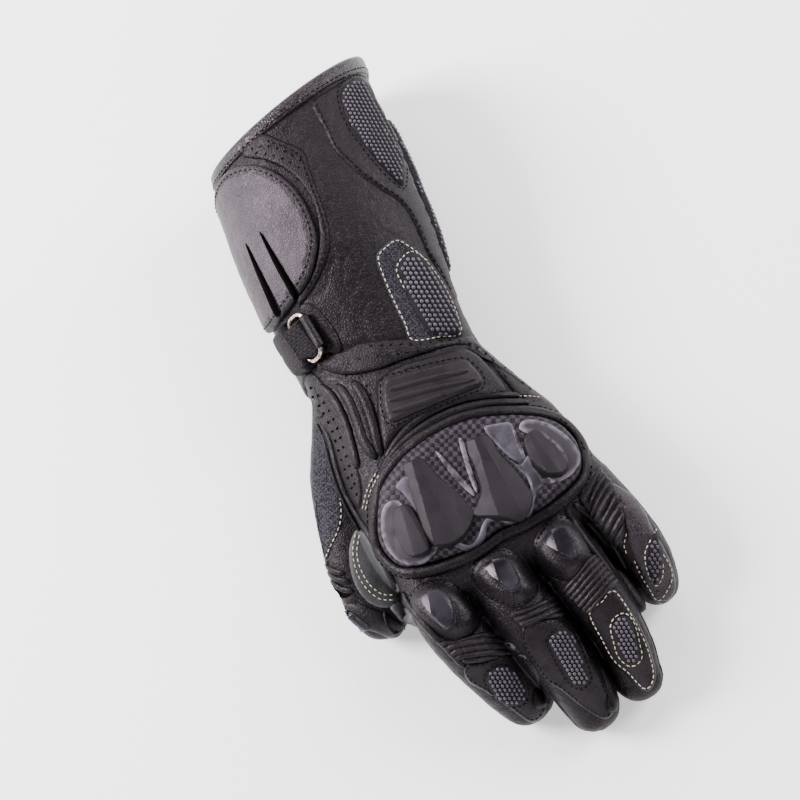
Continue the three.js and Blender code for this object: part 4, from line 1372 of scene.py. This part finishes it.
# The knuckle guard
GUARD = [(381, 498), (384, 486), (395, 469), (410, 453), (430, 438), (455, 425), (480, 419), (510, 417),
         (538, 419), (558, 427), (573, 443), (579, 460), (577, 475), (568, 487), (553, 500), (540, 509),
         (520, 520), (500, 529), (480, 543), (460, 553), (430, 562), (407, 566), (392, 557), (383, 543),
         (380, 525)]
LOBES = {
    # outline, apex, tip, crown
    "index": ([(393, 512), (398, 506), (409, 505), (419, 517), (428, 533), (433, 547), (426, 555), (411, 557),
               (400, 544), (394, 527)],
              (394, 484), (422, 558), [(-0.5, -0.04), (-0.14, 0.11), (0.04, 0.12), (0.5, 0.03)]),
    "middle": ([(404, 466), (411, 461), (422, 459), (438, 476), (456, 492), (466, 503), (474, 514),
                (468, 533), (458, 544), (446, 548), (434, 546), (425, 534), (418, 515), (410, 490)],
               (404, 434), (446, 548), [(-0.5, -0.03), (-0.12, 0.085), (0.06, 0.11), (0.5, -0.09)]),
    "ring": ([(466, 444), (476, 438), (487, 435), (500, 453), (516, 470), (528, 486), (533, 499), (530, 511),
              (519, 520), (503, 521), (488, 519), (474, 514), (480, 492), (474, 468)],
             (466, 412), (508, 522), [(-0.5, -0.03), (-0.14, 0.085), (0.06, 0.11), (0.5, -0.09)]),
    "little": ([(524, 441), (528, 433), (536, 430), (549, 441), (562, 454), (568, 466), (562, 477),
                (548, 478), (537, 470), (528, 456)],
               (518, 414), (559, 478), [(-0.5, 0.03), (-0.02, 0.12), (0.14, 0.12), (0.5, -0.02)]),
}
RIMS = {
    "guard_rim_index": ("rim", [(384, 507), (381, 520), (383, 537), (389, 551), (399, 561), (411, 565),
                                (424, 563), (433, 556), (437, 549), (430, 544), (420, 549), (411, 548),
                                (404, 539), (400, 524), (401, 513), (405, 508), (398, 501), (391, 501)]),
    "guard_rim_little": ("rim", [(519, 428), (523, 421), (534, 420), (549, 424), (564, 434), (575, 446),
                                 (580, 459), (574, 472), (563, 480), (551, 483), (547, 475), (556, 472),
                                 (562, 465), (562, 458), (555, 448), (544, 439), (534, 434), (526, 433)]),
    "guard_rim_edge": ("smoke", [(431, 557), (438, 548), (446, 543), (456, 547), (467, 551), (478, 547),
                                 (485, 537), (488, 525), (495, 520), (506, 523), (515, 525), (528, 519),
                                 (533, 507), (535, 492), (541, 485), (551, 482), (549, 478), (537, 480),
                                 (530, 489), (528, 502), (523, 512), (513, 518), (500, 517), (490, 516),
                                 (483, 523), (479, 534), (473, 543), (467, 545), (455, 541), (445, 538),
                                 (436, 543), (429, 551)]),
}
SMOKE = {
    "smoke_little": [(484, 428), (496, 424), (510, 423), (515, 432), (521, 447), (524, 458), (520, 463),
                     (508, 456), (496, 444)],
    "smoke_index": [(396, 487), (403, 478), (411, 478), (417, 492), (421, 514), (413, 506), (403, 493)],
    "smoke_side": [(510, 460), (520, 465), (528, 456), (534, 467), (541, 475), (544, 484), (537, 491),
                   (534, 503), (529, 510), (531, 492), (527, 478), (518, 469)],
}
BLADES = {
    "blade_1": [(417, 468), (421, 468), (426, 488), (431, 510), (427, 517), (422, 512), (420, 490)],
    "blade_2": [(436, 453), (441, 455), (457, 472), (474, 492), (472, 495), (454, 478)],
    "blade_3": [(459, 441), (463, 441), (470, 464), (478, 488), (475, 491), (466, 468)],
    "blade_4": [(511, 431), (515, 431), (521, 445), (525, 457), (521, 458), (516, 446)],
}
welt("guard_surround", [(378, 500), (381, 484), (393, 465), (409, 449), (429, 434), (454, 421), (480, 414),
                        (511, 412), (540, 414), (561, 422), (578, 439), (585, 460), (583, 478), (572, 492),
                        (556, 506), (542, 515), (522, 526), (502, 535), (482, 549), (461, 560), (431, 570),
                        (404, 572), (388, 562), (378, 546), (375, 525)],
     2.9, closed=True, flat=0.75, lift=0.2, carries=True)
panel("knuckle_guard", GUARD, rounded(2.2, 4.6, 5.0), "carbon", "moulded_plastic", replaces=["knuckle_guard"],
      carries=True, cell=0.9)
ON_GUARD = ("knuckle_guard", "body")
for name, outline in SMOKE.items():
    panel(name, outline, beveled(0.3, 0.8, 1.0), "smoke", "smoked_plastic", on=ON_GUARD, cell=0.7, sharp=30)
for name, (outline, apex, tip, crown) in LOBES.items():
    fan_panel(f"guard_lobe_{name}", outline, apex, tip, crown, "insert", "smoked_plastic", slope=2.6,
              replaces=[f"guard_lobe_{name}"], on=ON_GUARD, cell=0.6)
for name, outline in BLADES.items():
    panel(name, outline, beveled(0.3, 1.3, 1.3), "rim", "smoked_plastic", on=ON_GUARD, cell=0.5, sharp=35)
for name, (finish, outline) in RIMS.items():
    panel(name, outline, beveled(0.2, 0.9, 0.8), finish, "smoked_plastic", on=ON_GUARD, cell=0.5, sharp=35)

# Fingers: padded hoods with hard caps, stretch ribs, and tips with beaded pads
HOODS = {
    "index": [(407, 600), (413, 589), (430, 580), (448, 581), (464, 592), (479, 610), (479, 627), (466, 638),
              (446, 640), (426, 629), (411, 615)],
    "middle": [(470, 575), (474, 562), (489, 551), (505, 548), (520, 557), (531, 574), (538, 589), (532, 600),
               (514, 608), (496, 602), (480, 590)],
    "ring": [(533, 548), (539, 532), (550, 519), (565, 515), (578, 524), (589, 541), (593, 557), (585, 572),
             (570, 581), (554, 577), (540, 565)],
}
HARD_CAPS = {
    # outline, apex, tip
    "index": ([(421, 599), (428, 593), (437, 590), (446, 594), (453, 605), (456, 618), (453, 628), (446, 630),
               (436, 622), (427, 612)], (424, 572), (448, 630)),
    "middle": ([(484, 564), (491, 560), (500, 558), (509, 561), (516, 571), (520, 582), (517, 590),
                (510, 592), (500, 585), (490, 576)], (487, 542), (514, 592)),
    "ring": ([(542, 540), (548, 533), (556, 528), (564, 528), (571, 536), (577, 548), (577, 556), (570, 560),
              (560, 556), (550, 549)], (546, 512), (572, 560)),
}
CAP_CROWN = [(-0.6, 0.0), (-0.24, 0.09), (0.0, 0.1), (0.2, 0.1), (0.6, 0.0)]
RIBS = {
    "index": ([(432, 638), (455, 640), (482, 632), (500, 637), (520, 652), (500, 658), (478, 663), (462, 662),
               (446, 650)], (466, 634), (471, 664), 5, -0.25),
    "middle": ([(510, 612), (532, 606), (551, 594), (560, 604), (564, 617), (545, 620), (524, 628)],
               (526, 600), (537, 628), 5, 0.0),
    "ring": ([(562, 589), (577, 573), (592, 554), (606, 568), (618, 583), (603, 598), (588, 614), (573, 602)],
             (576, 564), (605, 588), 7, 0.0),
    "little": ([(584, 482), (597, 468), (605, 474), (614, 486), (622, 506), (625, 528), (621, 547),
                (609, 541), (594, 521), (579, 499)], (586, 474), (641, 504), 9, 0.0),
}
TIPS = {
    "index": [(465, 666), (485, 661), (505, 654), (520, 654), (532, 662), (540, 682), (546, 703), (543, 716),
              (530, 722), (508, 707), (486, 692), (468, 681)],
    "middle": [(523, 627), (537, 622), (556, 619), (571, 627), (585, 643), (598, 668), (611, 700), (613, 713),
               (603, 719), (583, 708), (562, 691), (545, 680), (531, 660), (522, 645)],
    "ring": [(587, 613), (600, 600), (613, 588), (627, 603), (641, 628), (651, 652), (656, 676), (650, 690),
             (640, 689), (626, 674), (612, 662), (600, 641)],
}
TIP_BEADS = {
    "index": [(487, 680), (492, 670), (503, 667), (515, 671), (522, 680), (526, 692), (524, 701), (515, 705),
              (505, 704), (496, 696)],
    "middle": [(549, 641), (556, 632), (566, 629), (574, 637), (579, 651), (586, 668), (589, 680), (580, 687),
               (570, 681), (562, 668), (555, 655)],
    "ring": [(613, 626), (618, 618), (625, 616), (632, 625), (637, 644), (639, 658), (631, 664), (621, 656),
             (616, 641)],
    "little": [(648, 556), (652, 536), (657, 534), (660, 550), (662, 565), (659, 580), (653, 584),
               (648, 570)],
}
LITTLE_SIDE = [(607, 482), (625, 490), (640, 503), (652, 528), (664, 548), (673, 570), (675, 590), (664, 604),
               (652, 598), (640, 574), (630, 548), (626, 530), (618, 503)]
# The little finger's outer side, its leather painted lighter where light falls on it
panel("little_side", LITTLE_SIDE, rounded(0.2, 0.9, 1.4), "lit", carries=True)
for name, outline in TIPS.items():
    panel(f"{name}_tip", outline, rounded(0.2, 0.9, 1.2), "smooth panel", carries=True)
for name, outline in HOODS.items():
    panel(f"{name}_hood", outline, swelling(0.15, 2.7, 7.0), "smooth panel", replaces=[f"{name}_cap_pad"],
          carries=True, fill=0.7)
for name, (outline, apex, tip) in HARD_CAPS.items():
    fan_panel(f"{name}_cap", outline, apex, tip, CAP_CROWN, "cap", "moulded_plastic", edge=0.5, slope=1.5,
              replaces=[f"{name}_cap"], on=(f"{name}_hood", "body"), cell=0.5)
for name, (outline, start, end, count, bow) in RIBS.items():
    panel(f"{name}_stretch_ribs", outline, ribbed(0.2, 2.0, start, end, count, bow), "smooth panel",
          replaces=[f"{name}_stretch_ribs"], cell=0.5)
for name, outline in TIP_BEADS.items():
    panel(f"{name}_tip_pad", outline, rounded(0.3, 1.2, 2.5), "bead cloth", "beaded_rubber",
          replaces=[f"{name}_tip_pad"], carries=True,
          on=("body", f"{name}_tip" if name in TIPS else "little_side"),
          cell=0.7, fill=0.6)

# The thumb
THUMB_DENIM = [(314, 427), (322, 430), (328, 439), (331, 456), (336, 476), (341, 498), (342, 515), (340, 529),
               (333, 544), (326, 560), (318, 550), (314, 530), (312, 500), (312, 470), (313, 445)]
RADIAL_STRIP = [(298, 364), (318, 377), (330, 392), (342, 414), (351, 440), (357, 465), (362, 488),
                (360, 508), (351, 500), (343, 482), (336, 460), (331, 440), (322, 428), (311, 420),
                (300, 405), (297, 385)]
WEB = [(356, 530), (351, 540), (349, 555), (351, 572), (357, 588), (367, 601), (379, 607), (390, 607),
       (398, 600), (400, 591), (391, 575), (381, 556), (371, 541), (362, 531)]
WEB_TAIL = [(390, 607), (398, 601), (405, 606), (413, 617), (417, 628), (413, 634), (406, 630), (398, 618)]
panel("thumb_denim", THUMB_DENIM, rounded(0.2, 0.8, 1.2), "denim", "stretch_denim",
      replaces=["thumb_stretch_panel"], carries=True)
panel("radial_strip", RADIAL_STRIP, rounded(0.2, 0.9, 1.2), "panel", carries=True)
panel("web_patch", WEB, rounded(0.3, 1.0, 1.2), "palm panel", "palm_leather", replaces=["web_patch"],
      carries=True)
panel("web_tail", WEB_TAIL, rounded(0.3, 1.0, 1.0), "palm panel", "palm_leather")
welt("thumb_piping", [(322, 424), (330, 440), (336, 464), (344, 489), (355, 511), (368, 532), (379, 552),
                      (389, 572), (399, 592), (408, 607)], 1.9, ends=0.5, lift=0.1)
welt("thumb_seam", [(317, 424), (324, 440), (330, 464), (338, 489), (349, 513), (362, 535)], 1.0, ends=0.4)
THUMB_END = [(346, 603), (360, 604), (374, 609), (388, 614), (400, 622), (410, 632), (411, 637), (403, 641),
             (392, 639), (378, 633), (362, 628), (349, 622), (342, 612)]
panel("thumb_end", THUMB_END, rounded(0.3, 1.2, 2.0), "smooth panel", carries=True)
for name, path in {"thumb_fold_1": [(322, 562), (332, 570), (345, 574)],
                   "thumb_fold_2": [(326, 571), (337, 579), (350, 582)],
                   "thumb_fold_3": [(331, 581), (342, 589), (354, 591)]}.items():
    welt(name, path, 1.5, ends=0.4, flat=0.7, lift=0.1)
welt("thumb_end_seam", [(384, 610), (386, 621), (391, 631), (402, 639)], 0.9, on=("thumb_end", "body"))
# A dark sheet of painted shade in the thumb's opening
panel("thumb_opening", [(318, 588), (326, 583), (338, 584), (352, 592), (345, 598), (332, 598), (322, 594)],
      beveled(0.1, 0.4, 0.3), "hole", cell=0.7)
panel("thumb_cap", [(341, 613), (350, 612), (361, 620), (370, 628), (360, 631), (347, 625), (341, 619)],
      rounded(0.4, 1.6, 1.6), "cap", "moulded_plastic", replaces=["thumb_cap"], cell=0.6,
      on=("thumb_end", "body"))

# Leather folded between the fingers
FOURCHETTES = {
    "gusset_1": (1.7, [(573, 503), (592, 519), (611, 543), (626, 569)]),
    "gusset_2": (1.7, [(566, 509), (581, 533), (599, 558), (614, 578)]),
    "gusset_4": (2.0, [(403, 592), (410, 606), (430, 630), (450, 650), (464, 667)]),
}
for name, (radius, path) in FOURCHETTES.items():
    welt(name, path, radius, flat=0.7, lift=0.15)


def gusset(name, marks, height, radius):
    """Leather folded down between two fingers, along marks of the photograph at a height over the floor."""
    line = curve_through(np.array(marks, float), 4.0)
    path = []
    for u, v in line:
        start, way = sight("photo", u, v)
        path.append(start + way * (height - start[2]) / way[2])
    path = curve_through(np.array(path), 1.4)
    out = np.broadcast_to([0.0, 0.0, 1.0], path.shape)
    points, faces = tube(path, out, tapered(len(path), radius, 0.5), 12, flat=1.3)
    points[:, 2] = np.maximum(points[:, 2], SOLE)
    piece(name, points, faces, "welt")


gusset("side_gusset_1", [(474, 600), (492, 630), (514, 660), (532, 690), (542, 708)], 19, 4.2)
gusset("side_gusset_2", [(540, 572), (556, 598), (575, 630), (594, 660), (606, 690), (612, 712)], 18, 4.4)
gusset("side_gusset_3", [(577, 509), (590, 530), (606, 557), (622, 581), (634, 600), (642, 612)], 21, 4.4)

# The cuff's mouth, the strap and its ring

def hem_binding():
    """Leather folded over the cuff's mouth: each pair is a place along the cuff and a growth."""
    profile = [(-7.2, -0.4), (-7.0, 0.7), (-6.2, 1.2), (-3.0, 1.4), (-0.4, 1.3), (0.8, 0.5), (1.2, -0.8),
               (0.8, -2.1), (-0.4, -2.9), (-3.0, -3.0), (-6.4, -2.8), (-7.1, -2.1)]
    rings = [trunk_ring(HEM_Y + along, 160, grow) for along, grow in profile]
    sides = len(rings[0])
    points = np.concatenate(rings)
    points[:, 2] = np.maximum(points[:, 2], 0.0)
    faces = []
    for r in range(len(rings)):
        for k in range(sides):
            nxt = (k + 1) % sides
            after = (r + 1) % len(rings)
            faces.append((r * sides + k, after * sides + k, after * sides + nxt, r * sides + nxt))
    lay("hem_binding", points, faces)
    piece("hem_binding", points, faces, "binding", replaces=["hem_binding"])


def strap_ring():
    """The metal ring that the strap runs through, leaning on its loop."""
    place, way = cast("around", [(142, 30.5)], ("body",))
    centre = place[0] - way[0] * 3.3
    turn = np.linspace(0, 2 * math.pi, 72, endpoint=False)
    half_wide, half_long = 6.05, 11
    squareness = 0.65
    flat = np.stack([half_wide * signed_power(np.cos(turn), squareness),
                     half_long * signed_power(np.sin(turn), squareness), 0 * turn], 1)
    bar = np.stack([np.full(30, half_wide), np.linspace(-8.4, 8.4, 30), np.full(30, 0.3)], 1)
    pitch, yaw = math.radians(6), math.radians(90 - 134)
    pitched = np.array([[1, 0, 0], [0, math.cos(pitch), math.sin(pitch)],
                        [0, -math.sin(pitch), math.cos(pitch)]])
    turned = pitched @ np.array([[math.cos(yaw), 0, -math.sin(yaw)], [0, 1, 0],
                                 [math.sin(yaw), 0, math.cos(yaw)]])
    out = np.array([[math.sin(yaw), 0, math.cos(yaw)]])
    points, faces = tube(centre + flat @ turned, out.repeat(72, 0), 1.0, 12, closed=True)
    piece("strap_ring", points, faces, "metal", replaces=["strap_ring"])
    points, faces = tube(centre + bar @ turned, out.repeat(30, 0), tapered(30, 2.2, 0.75, 0.08), 14)
    piece("strap_bar", points, faces, "smooth panel")


hem_binding()
panel("wrist_strap", [(146, 39), (146, 21), (165, 18), (185, 15), (200, 13), (200, 33), (182, 36), (165, 38)],
      rounded(0.6, 1.4, 1.2), "panel", view="around", replaces=["wrist_strap"])
panel("ring_loop", [(128, 43), (138, 42), (137, 20), (127, 19), (124, 31)], rounded(0.6, 1.4, 1.2), "panel",
      view="around", replaces=["ring_loop"], carries=True)
strap_ring()
panel("strap_web", [(138.6, 38.5), (138.6, 22.5), (148, 22), (156, 23), (156, 38), (148, 39)],
      rounded(0.6, 5.9, 2.0), "ribbed", view="around", cell=0.8)
panel("strap_fold", [(151, 41), (151, 20), (158, 18), (166, 19), (168, 28), (166, 40), (158, 42)],
      rounded(0.8, 6.6, 3.0), "panel", view="around", cell=0.8)

# Overlays of the palm, which carry the glove
PALM_PATCH = [(-22, -2), (-6, 3), (16, 2), (30, -4), (37, -20), (38, -40), (26, -54), (6, -57), (-11, -50),
              (-19, -28)]
GRIPS = {
    "index_grip_patch": [(-16, -137), (-10, -137), (-5, -146), (-4.5, -156), (-9, -160), (-14, -156),
                         (-17, -147)],
    "middle_grip_patch": [(12, -151), (18, -152), (22, -162), (22, -172), (18, -176), (14, -171), (12, -161)],
}
YOKE = [(-30, -66), (-36, -80), (-36, -100), (-32, -116), (-20, -120), (-13, -112), (-9, -99), (0, -92),
        (16, -90), (34, -88), (48, -82), (58, -72), (52, -66), (34, -68), (10, -70), (-10, -68)]
HEEL = [(44, -46), (50, -40), (54, -22), (51, 0), (46, 16), (38, 24), (30, 20), (36, 10), (41, 0), (43, -14),
        (42, -30)]
CUFF_TEXTILE = [(-24, 26), (-28, 46), (-30, 70), (-27, 86), (4, 89), (38, 86), (40, 64), (37, 40), (32, 30),
                (8, 22)]
for name, outline in {"palm_yoke": YOKE, "palm_heel": HEEL}.items():
    panel(name, outline, rounded(0.2, 0.9, 1.2), "palm panel", "palm_leather", "below", carries=True)
panel("cuff_textile", CUFF_TEXTILE, quilted(0.2, 1.3, 2.0, 16), "textile", "black_leather", "below")
panel("palm_patch", PALM_PATCH, rounded(0.5, 1.5, 1.6), "palm panel", "palm_leather", "below",
      ["palm_patch"], carries=True)
for name, outline in GRIPS.items():
    panel(name, outline, rounded(0.5, 1.5, 1.6), "palm panel", "palm_leather", "below", [name], carries=True)


# Seams, stitches, holes and beads

def beside(marks, by, closed=False):
    """Marks moved sideways, to the left of the way they run where by is positive."""
    marks = np.array(marks, float)
    if closed:
        along = np.roll(marks, -1, axis=0) - np.roll(marks, 1, axis=0)
    else:
        along = np.gradient(marks, axis=0)
    along = unit(along)
    return marks + np.stack([along[:, 1], -along[:, 0]], 1) * by


def inward(outline, by):
    """An outline drawn in by a distance, or out where it is negative."""
    marks = np.array(outline, float)
    after = np.roll(marks, -1, axis=0)
    area = (marks[:, 0] * after[:, 1] - after[:, 0] * marks[:, 1]).sum()
    return beside(marks, -by if area > 0 else by, True)


def stitches(name, finish, lines, length=2.0, gap=0.9, width=0.62):
    """A row of stitches along each line: view, marks, whether it closes, and what it lies on."""
    rows = []
    for view, marks, closed, on in lines:
        points, out = trail(view, marks, 0.8, closed, on, 0.12)
        if closed:
            points, out = np.concatenate([points, points[:1]]), np.concatenate([out, out[:1]])
        rows.append((points, out))
    sizes = {"Length": length, "Width": width, "Height": 0.5, "Spacing": length + gap}
    return repeated(name, STITCHES, rows, sizes, finish)


def holes(name, lines, size=1.1):
    """Dark discs of painted shade for round holes along each line: view, marks, their spacing in millimetres
    and what they lie in.
    """
    rows = []
    for view, marks, spacing, on in lines:
        points, out = trail(view, marks, spacing, False, on, 0.1)
        rows.append((points, out))
    return repeated(name, BEADS, rows, {"Length": size, "Width": size, "Height": 0.34, "Spacing": 1.0},
                    "hole")


def nearest_normal(points, on):
    out = np.zeros_like(points)
    for i, point in enumerate(points):
        found = [ground[name].find_nearest(Vector(point)) for name in on]
        out[i] = min(found, key=lambda f: f[3])[1]
    return out


def beads(name, view, outline, pitch, size, turn, on, margin):
    """Raised beads in staggered rows that fill an outline. pitch and size are in millimetres."""
    scale = np.array(UNIT_SIZE[view])
    loop = curve_through(np.array(outline, float) * scale, 0.8, True)
    turned = math.radians(turn)
    along = np.array([math.cos(turned), math.sin(turned)])
    over = np.array([-along[1], along[0]])
    middle = loop.mean(0)
    reach = int(np.linalg.norm(loop - middle, axis=1).max() / min(pitch)) + 2
    steps = range(-reach, reach + 1)
    grid = np.array([middle + along * (i + 0.5 * (j % 2)) * pitch[0] + over * j * pitch[1]
                     for i in steps for j in steps])
    grid = grid[inside(grid, loop)]
    grid = grid[distance_to(grid, loop, True) > margin]
    points, ways = cast(view, grid / scale, on)
    ahead, _ = cast(view, (grid + along * 0.4) / scale, on)
    out = nearest_normal(points, on)
    out[(out * ways).sum(1) > 0] *= -1
    way = unit(ahead - points + 1e-9)
    sizes = {"Length": size[0], "Width": size[1], "Height": size[2], "Spacing": 1.0}
    return repeated(name, BEADS, [(points + out * 0.12, out, way)], sizes, "bead")


EDGE_BEADS_AROUND = [(-6, 121), (5, 112), (9, 92), (10, 72), (5, 50), (-7, 38), (-18, 45), (-23, 66),
                     (-23, 96), (-17, 116)]
beads("hem_beads", "photo", HEM_BEADS, (2.05, 1.6), (1.75, 1.3, 1.1), 62, ("hem_bead_pad",), 0.9)
beads("edge_beads", "around", EDGE_BEADS_AROUND, (2.3, 2.0), (1.9, 1.5, 1.1), 90, ("edge_bead_pad",), 1.0)
beads("wrist_beads", "photo", WRIST_BEADS, (2.45, 2.05), (2.1, 1.7, 1.3), 60, ("wrist_bead_pad",), 0.9)
for name, outline in TIP_BEADS.items():
    beads(f"{name}_tip_beads", "photo", outline, (2.15, 1.85), (1.8, 1.45, 1.1), 60,
          (f"{name}_tip_pad",), 0.6)

HEM_PATH = trunk_ring(HEM_Y - 5.4, 200, 1.5)


def hem_stitches():
    """Stitches along the binding's edge, all the way round the cuff."""
    points = np.array([tuple(ground["hem_binding"].find_nearest(Vector(p))[0]) for p in HEM_PATH])
    out = nearest_normal(points, ("hem_binding",))
    points, out = np.concatenate([points, points[:1]]), np.concatenate([out, out[:1]])
    raised = points[:, 2] > 0.6
    points[~raised, 2] = 0.6
    sizes = {"Length": 2.1, "Width": 0.6, "Height": 0.5, "Spacing": 3.0}
    repeated("hem_stitches", STITCHES, [(points + out * 0.1, out)], sizes, "black")


hem_stitches()

ON_CUFF = ("body", "cuff_side_panel", "flap_crescent", "wrist_band", "hem_bead_pad")
ON_BACK = ("body", "wrist_band", "badge_pad", "radial_strip")
stitches("cuff_stitches", "black", [
    ("around", inward(FLAP_AROUND, 2.6), True, ("closure_flap",)),
    ("photo", [(268, 141), (285, 147), (300, 156), (305, 169), (312, 188), (319, 207), (324, 226), (326, 242),
               (324, 255), (317, 272), (308, 288)], False, ON_CUFF),
    ("photo", inward(HEM_BEADS, -3.2), True, ON_CUFF),
    ("photo", beside([(310, 97), (316, 112), (326, 132), (333, 147), (345, 160), (360, 174), (380, 188),
                      (398, 200), (410, 215), (420, 235), (426, 252), (437, 270), (447, 290)], 3.2), False,
     ON_CUFF),
])
stitches("back_stitches", "black", [
    ("photo", inward(BADGE, -3.4), True, ("badge_pad", "body")),
    ("photo", inward(GUARD, -12.5), True, ("guard_surround", "body")),
])
stitches("finger_stitches", "black",
         [("photo", inward(outline, 2.6), True, (f"{name}_hood",)) for name, outline in HOODS.items()] +
         [("photo", inward(TIP_BEADS[name], -2.8), True, (f"{name}_tip",)) for name in ("index", "middle")] +
         [("photo", inward(TIPS[name], 2.4), True, (f"{name}_tip",)) for name in ("index", "middle")],
         1.6, 0.8, 0.5)
stitches("cream_stitches", "cream", [
    ("photo", inward(WRIST_DENIM, 2.4), True, ("wrist_denim", "wrist_bead_pad", "body")),
    ("photo", inward(WRIST_BEADS, -1.6)[[13, 0, 1, 2, 3]], False, ("wrist_denim", "wrist_bead_pad")),
    ("photo", [(363, 507), (366, 494), (370, 484), (375, 475)], False, ("body", "guard_surround")),
    ("photo", [(366, 508), (369, 496), (373, 486), (378, 477)], False, ("body", "guard_surround")),
    ("photo", [(520, 396), (529, 396), (538, 397)], False, ("body", "wrist_band")),
    ("photo", [(340, 498), (341, 515), (338, 530), (331, 545), (325, 559)], False, ("thumb_denim", "body")),
    ("photo", inward(TIPS["ring"], 2.6), True, ("ring_tip",)),
    ("photo", inward(TIP_BEADS["ring"], -2.6), True, ("ring_tip", "ring_tip_pad")),
    ("photo", [(656, 530), (650, 541), (645, 553), (647, 570), (655, 586), (662, 578), (663, 566)], False,
     ("body", "little_side")),
    ("photo", [(664, 556), (670, 566), (672, 578), (667, 591), (658, 601), (650, 590), (641, 575),
               (635, 562)], False, ("body", "little_side")),
    ("photo", [(626, 535), (624, 545), (626, 552)], False, ("body", "little_side")),
    ("photo", [(355, 536), (353, 548), (354, 562), (359, 577), (368, 590), (380, 599), (391, 600)], False,
     ("web_patch", "body")),
    ("photo", [(359, 537), (357, 549), (358, 561), (363, 574), (371, 586), (382, 594), (391, 595)], False,
     ("web_patch", "body")),
], 1.8, 0.8, 0.5)
holes("vent_holes", [
    ("photo", [(252, 149), (262, 145), (274, 147), (288, 152), (300, 160)], 3.9, ("flap_crescent", "body")),
    ("photo", [(256, 153), (270, 154), (284, 159), (298, 167)], 3.9, ("flap_crescent", "body")),
    ("photo", [(371, 346), (391, 345), (411, 344), (430, 343), (450, 339), (465, 342), (480, 348), (489, 356),
               (497, 365), (505, 376)], 4.5, ON_BACK),
    ("photo", [(349, 364), (360, 357), (379, 356), (399, 354), (418, 351)], 4.5, ON_BACK),
    ("photo", [(498, 353), (508, 361), (518, 368), (527, 378), (530, 388)], 4.5, ON_BACK),
    ("photo", [(505, 368), (514, 374), (522, 383)], 4.5, ON_BACK),
    ("photo", [(311, 388), (321, 398), (331, 413), (338, 430), (345, 452), (352, 474), (357, 494)], 4.4,
     ("radial_strip", "body")),
    ("photo", [(313, 397), (322, 409), (330, 425), (337, 445), (344, 467), (352, 488)], 4.4,
     ("radial_strip", "body")),
    ("photo", [(346, 376), (356, 391), (364, 409), (370, 430), (375, 446)], 4.4, ("body",)),
    ("photo", [(362, 376), (369, 390), (375, 408), (378, 424)], 4.4, ("body",)),
], size=1.5)


def finger_edge(name, share):
    """A line round the front of a finger at a share of its half width, by places seen from below."""
    _, x, y, _, wide, deep = DIGITS[name][1][1:].T
    one_side = np.stack([x - wide * share, y], 1)
    other_side = np.stack([x + wide * share, y], 1)
    tip = [(x[-1], y[-1] - deep[-1] * share)]
    return np.concatenate([one_side, tip, other_side[::-1]])


FINGERS = ("index", "middle", "ring", "little")
ON_PALM = ("body", "palm_patch", "palm_yoke", "palm_heel")
stitches("finger_edge_stitches", "black",
         [("below", finger_edge(name, 0.74), False, ON_PALM) for name in FINGERS],
         1.8, 1.1, 0.5)
stitches("palm_stitches", "cream",
         [("below", inward(outline, by), True, ON_PALM)
          for outline in (PALM_PATCH, YOKE, HEEL) for by in (1.7, 3.3)] +
         [("below", inward(outline, by), True, (name,))
          for name, outline in GRIPS.items() for by in (1.5, 2.9)],
         1.8, 0.8, 0.45)
holes("palm_holes", [
    ("below", [(-23, -122), (-20, -131), (-17, -138)], 9.0, ("body",)),
    ("below", [(7, -112), (9, -128), (12, -142)], 14.0, ("body",)),
    ("below", [(37, -108), (40, -126), (42, -150)], 18.0, ("body",)),
    ("below", [(64, -98), (67, -112), (68, -126)], 12.0, ("body",)),
])


# Camera, light and floor

def make_camera():
    data = bpy.data.cameras.new("camera")
    data.lens = CAMERA["lens"]
    data.sensor_width = CAMERA["sensor"]
    made = bpy.data.objects.new("camera", data)
    bpy.context.scene.collection.objects.link(made)
    turned = np.stack([EYE_RIGHT, EYE_UP, EYE_BACK], 1)
    rows = [[*turned[i], (EYE[i] + PART_TO_FRAME[i]) * MM] for i in range(3)]
    made.matrix_world = Matrix([*rows, [0, 0, 0, 1]])
    data.clip_start = 0.05
    data.clip_end = 20
    bpy.context.scene.camera = made


LIGHT_TARGET = (0, 0, 0.02)
LIGHTS = {
    # place in metres, size, watts
    "key softbox": ((-1.0, 0.55, 0.85), (0.6, 0.6), 64.0),
    "right softbox": ((1.15, 0.2, 0.75), (0.5, 1.0), 30.0),
    "back softbox": ((0.1, 1.25, 0.8), (1.2, 0.6), 24.0),
    "front fill": ((-0.2, -1.3, 0.7), (1.2, 0.6), 13.0),
}
FLOOR_HALF = 6.0
FLOOR_DROP = 0.0004
ROOM_LIGHT = 0.22


def make_light(name, place, size, power):
    data = bpy.data.lights.new(name, "AREA")
    data.shape = "RECTANGLE"
    data.size, data.size_y = size
    data.energy = power
    made = bpy.data.objects.new(name, data)
    bpy.context.scene.collection.objects.link(made)
    made.location = place
    way = Vector(LIGHT_TARGET) - Vector(place)
    made.rotation_euler = way.to_track_quat("-Z", "Y").to_euler()


def make_studio():
    corners = [(x * FLOOR_HALF, y * FLOOR_HALF, 0) for x, y in ((-1, -1), (1, -1), (1, 1), (-1, 1))]
    mesh = plain_mesh("floor", corners, [(0, 1, 2, 3)])
    mesh.materials.append(materials["paper"])
    floor = bpy.data.objects.new("floor", mesh)
    bpy.context.scene.collection.objects.link(floor)
    floor.location.z = -FLOOR_DROP
    world = bpy.data.worlds.new("studio")
    world.use_nodes = True
    world.node_tree.nodes["Background"].inputs["Color"].default_value = (1.0, 1.0, 1.0, 1.0)
    world.node_tree.nodes["Background"].inputs["Strength"].default_value = ROOM_LIGHT
    bpy.context.scene.world = world
    for name, row in LIGHTS.items():
        make_light(name, *row)


make_camera()
make_studio()
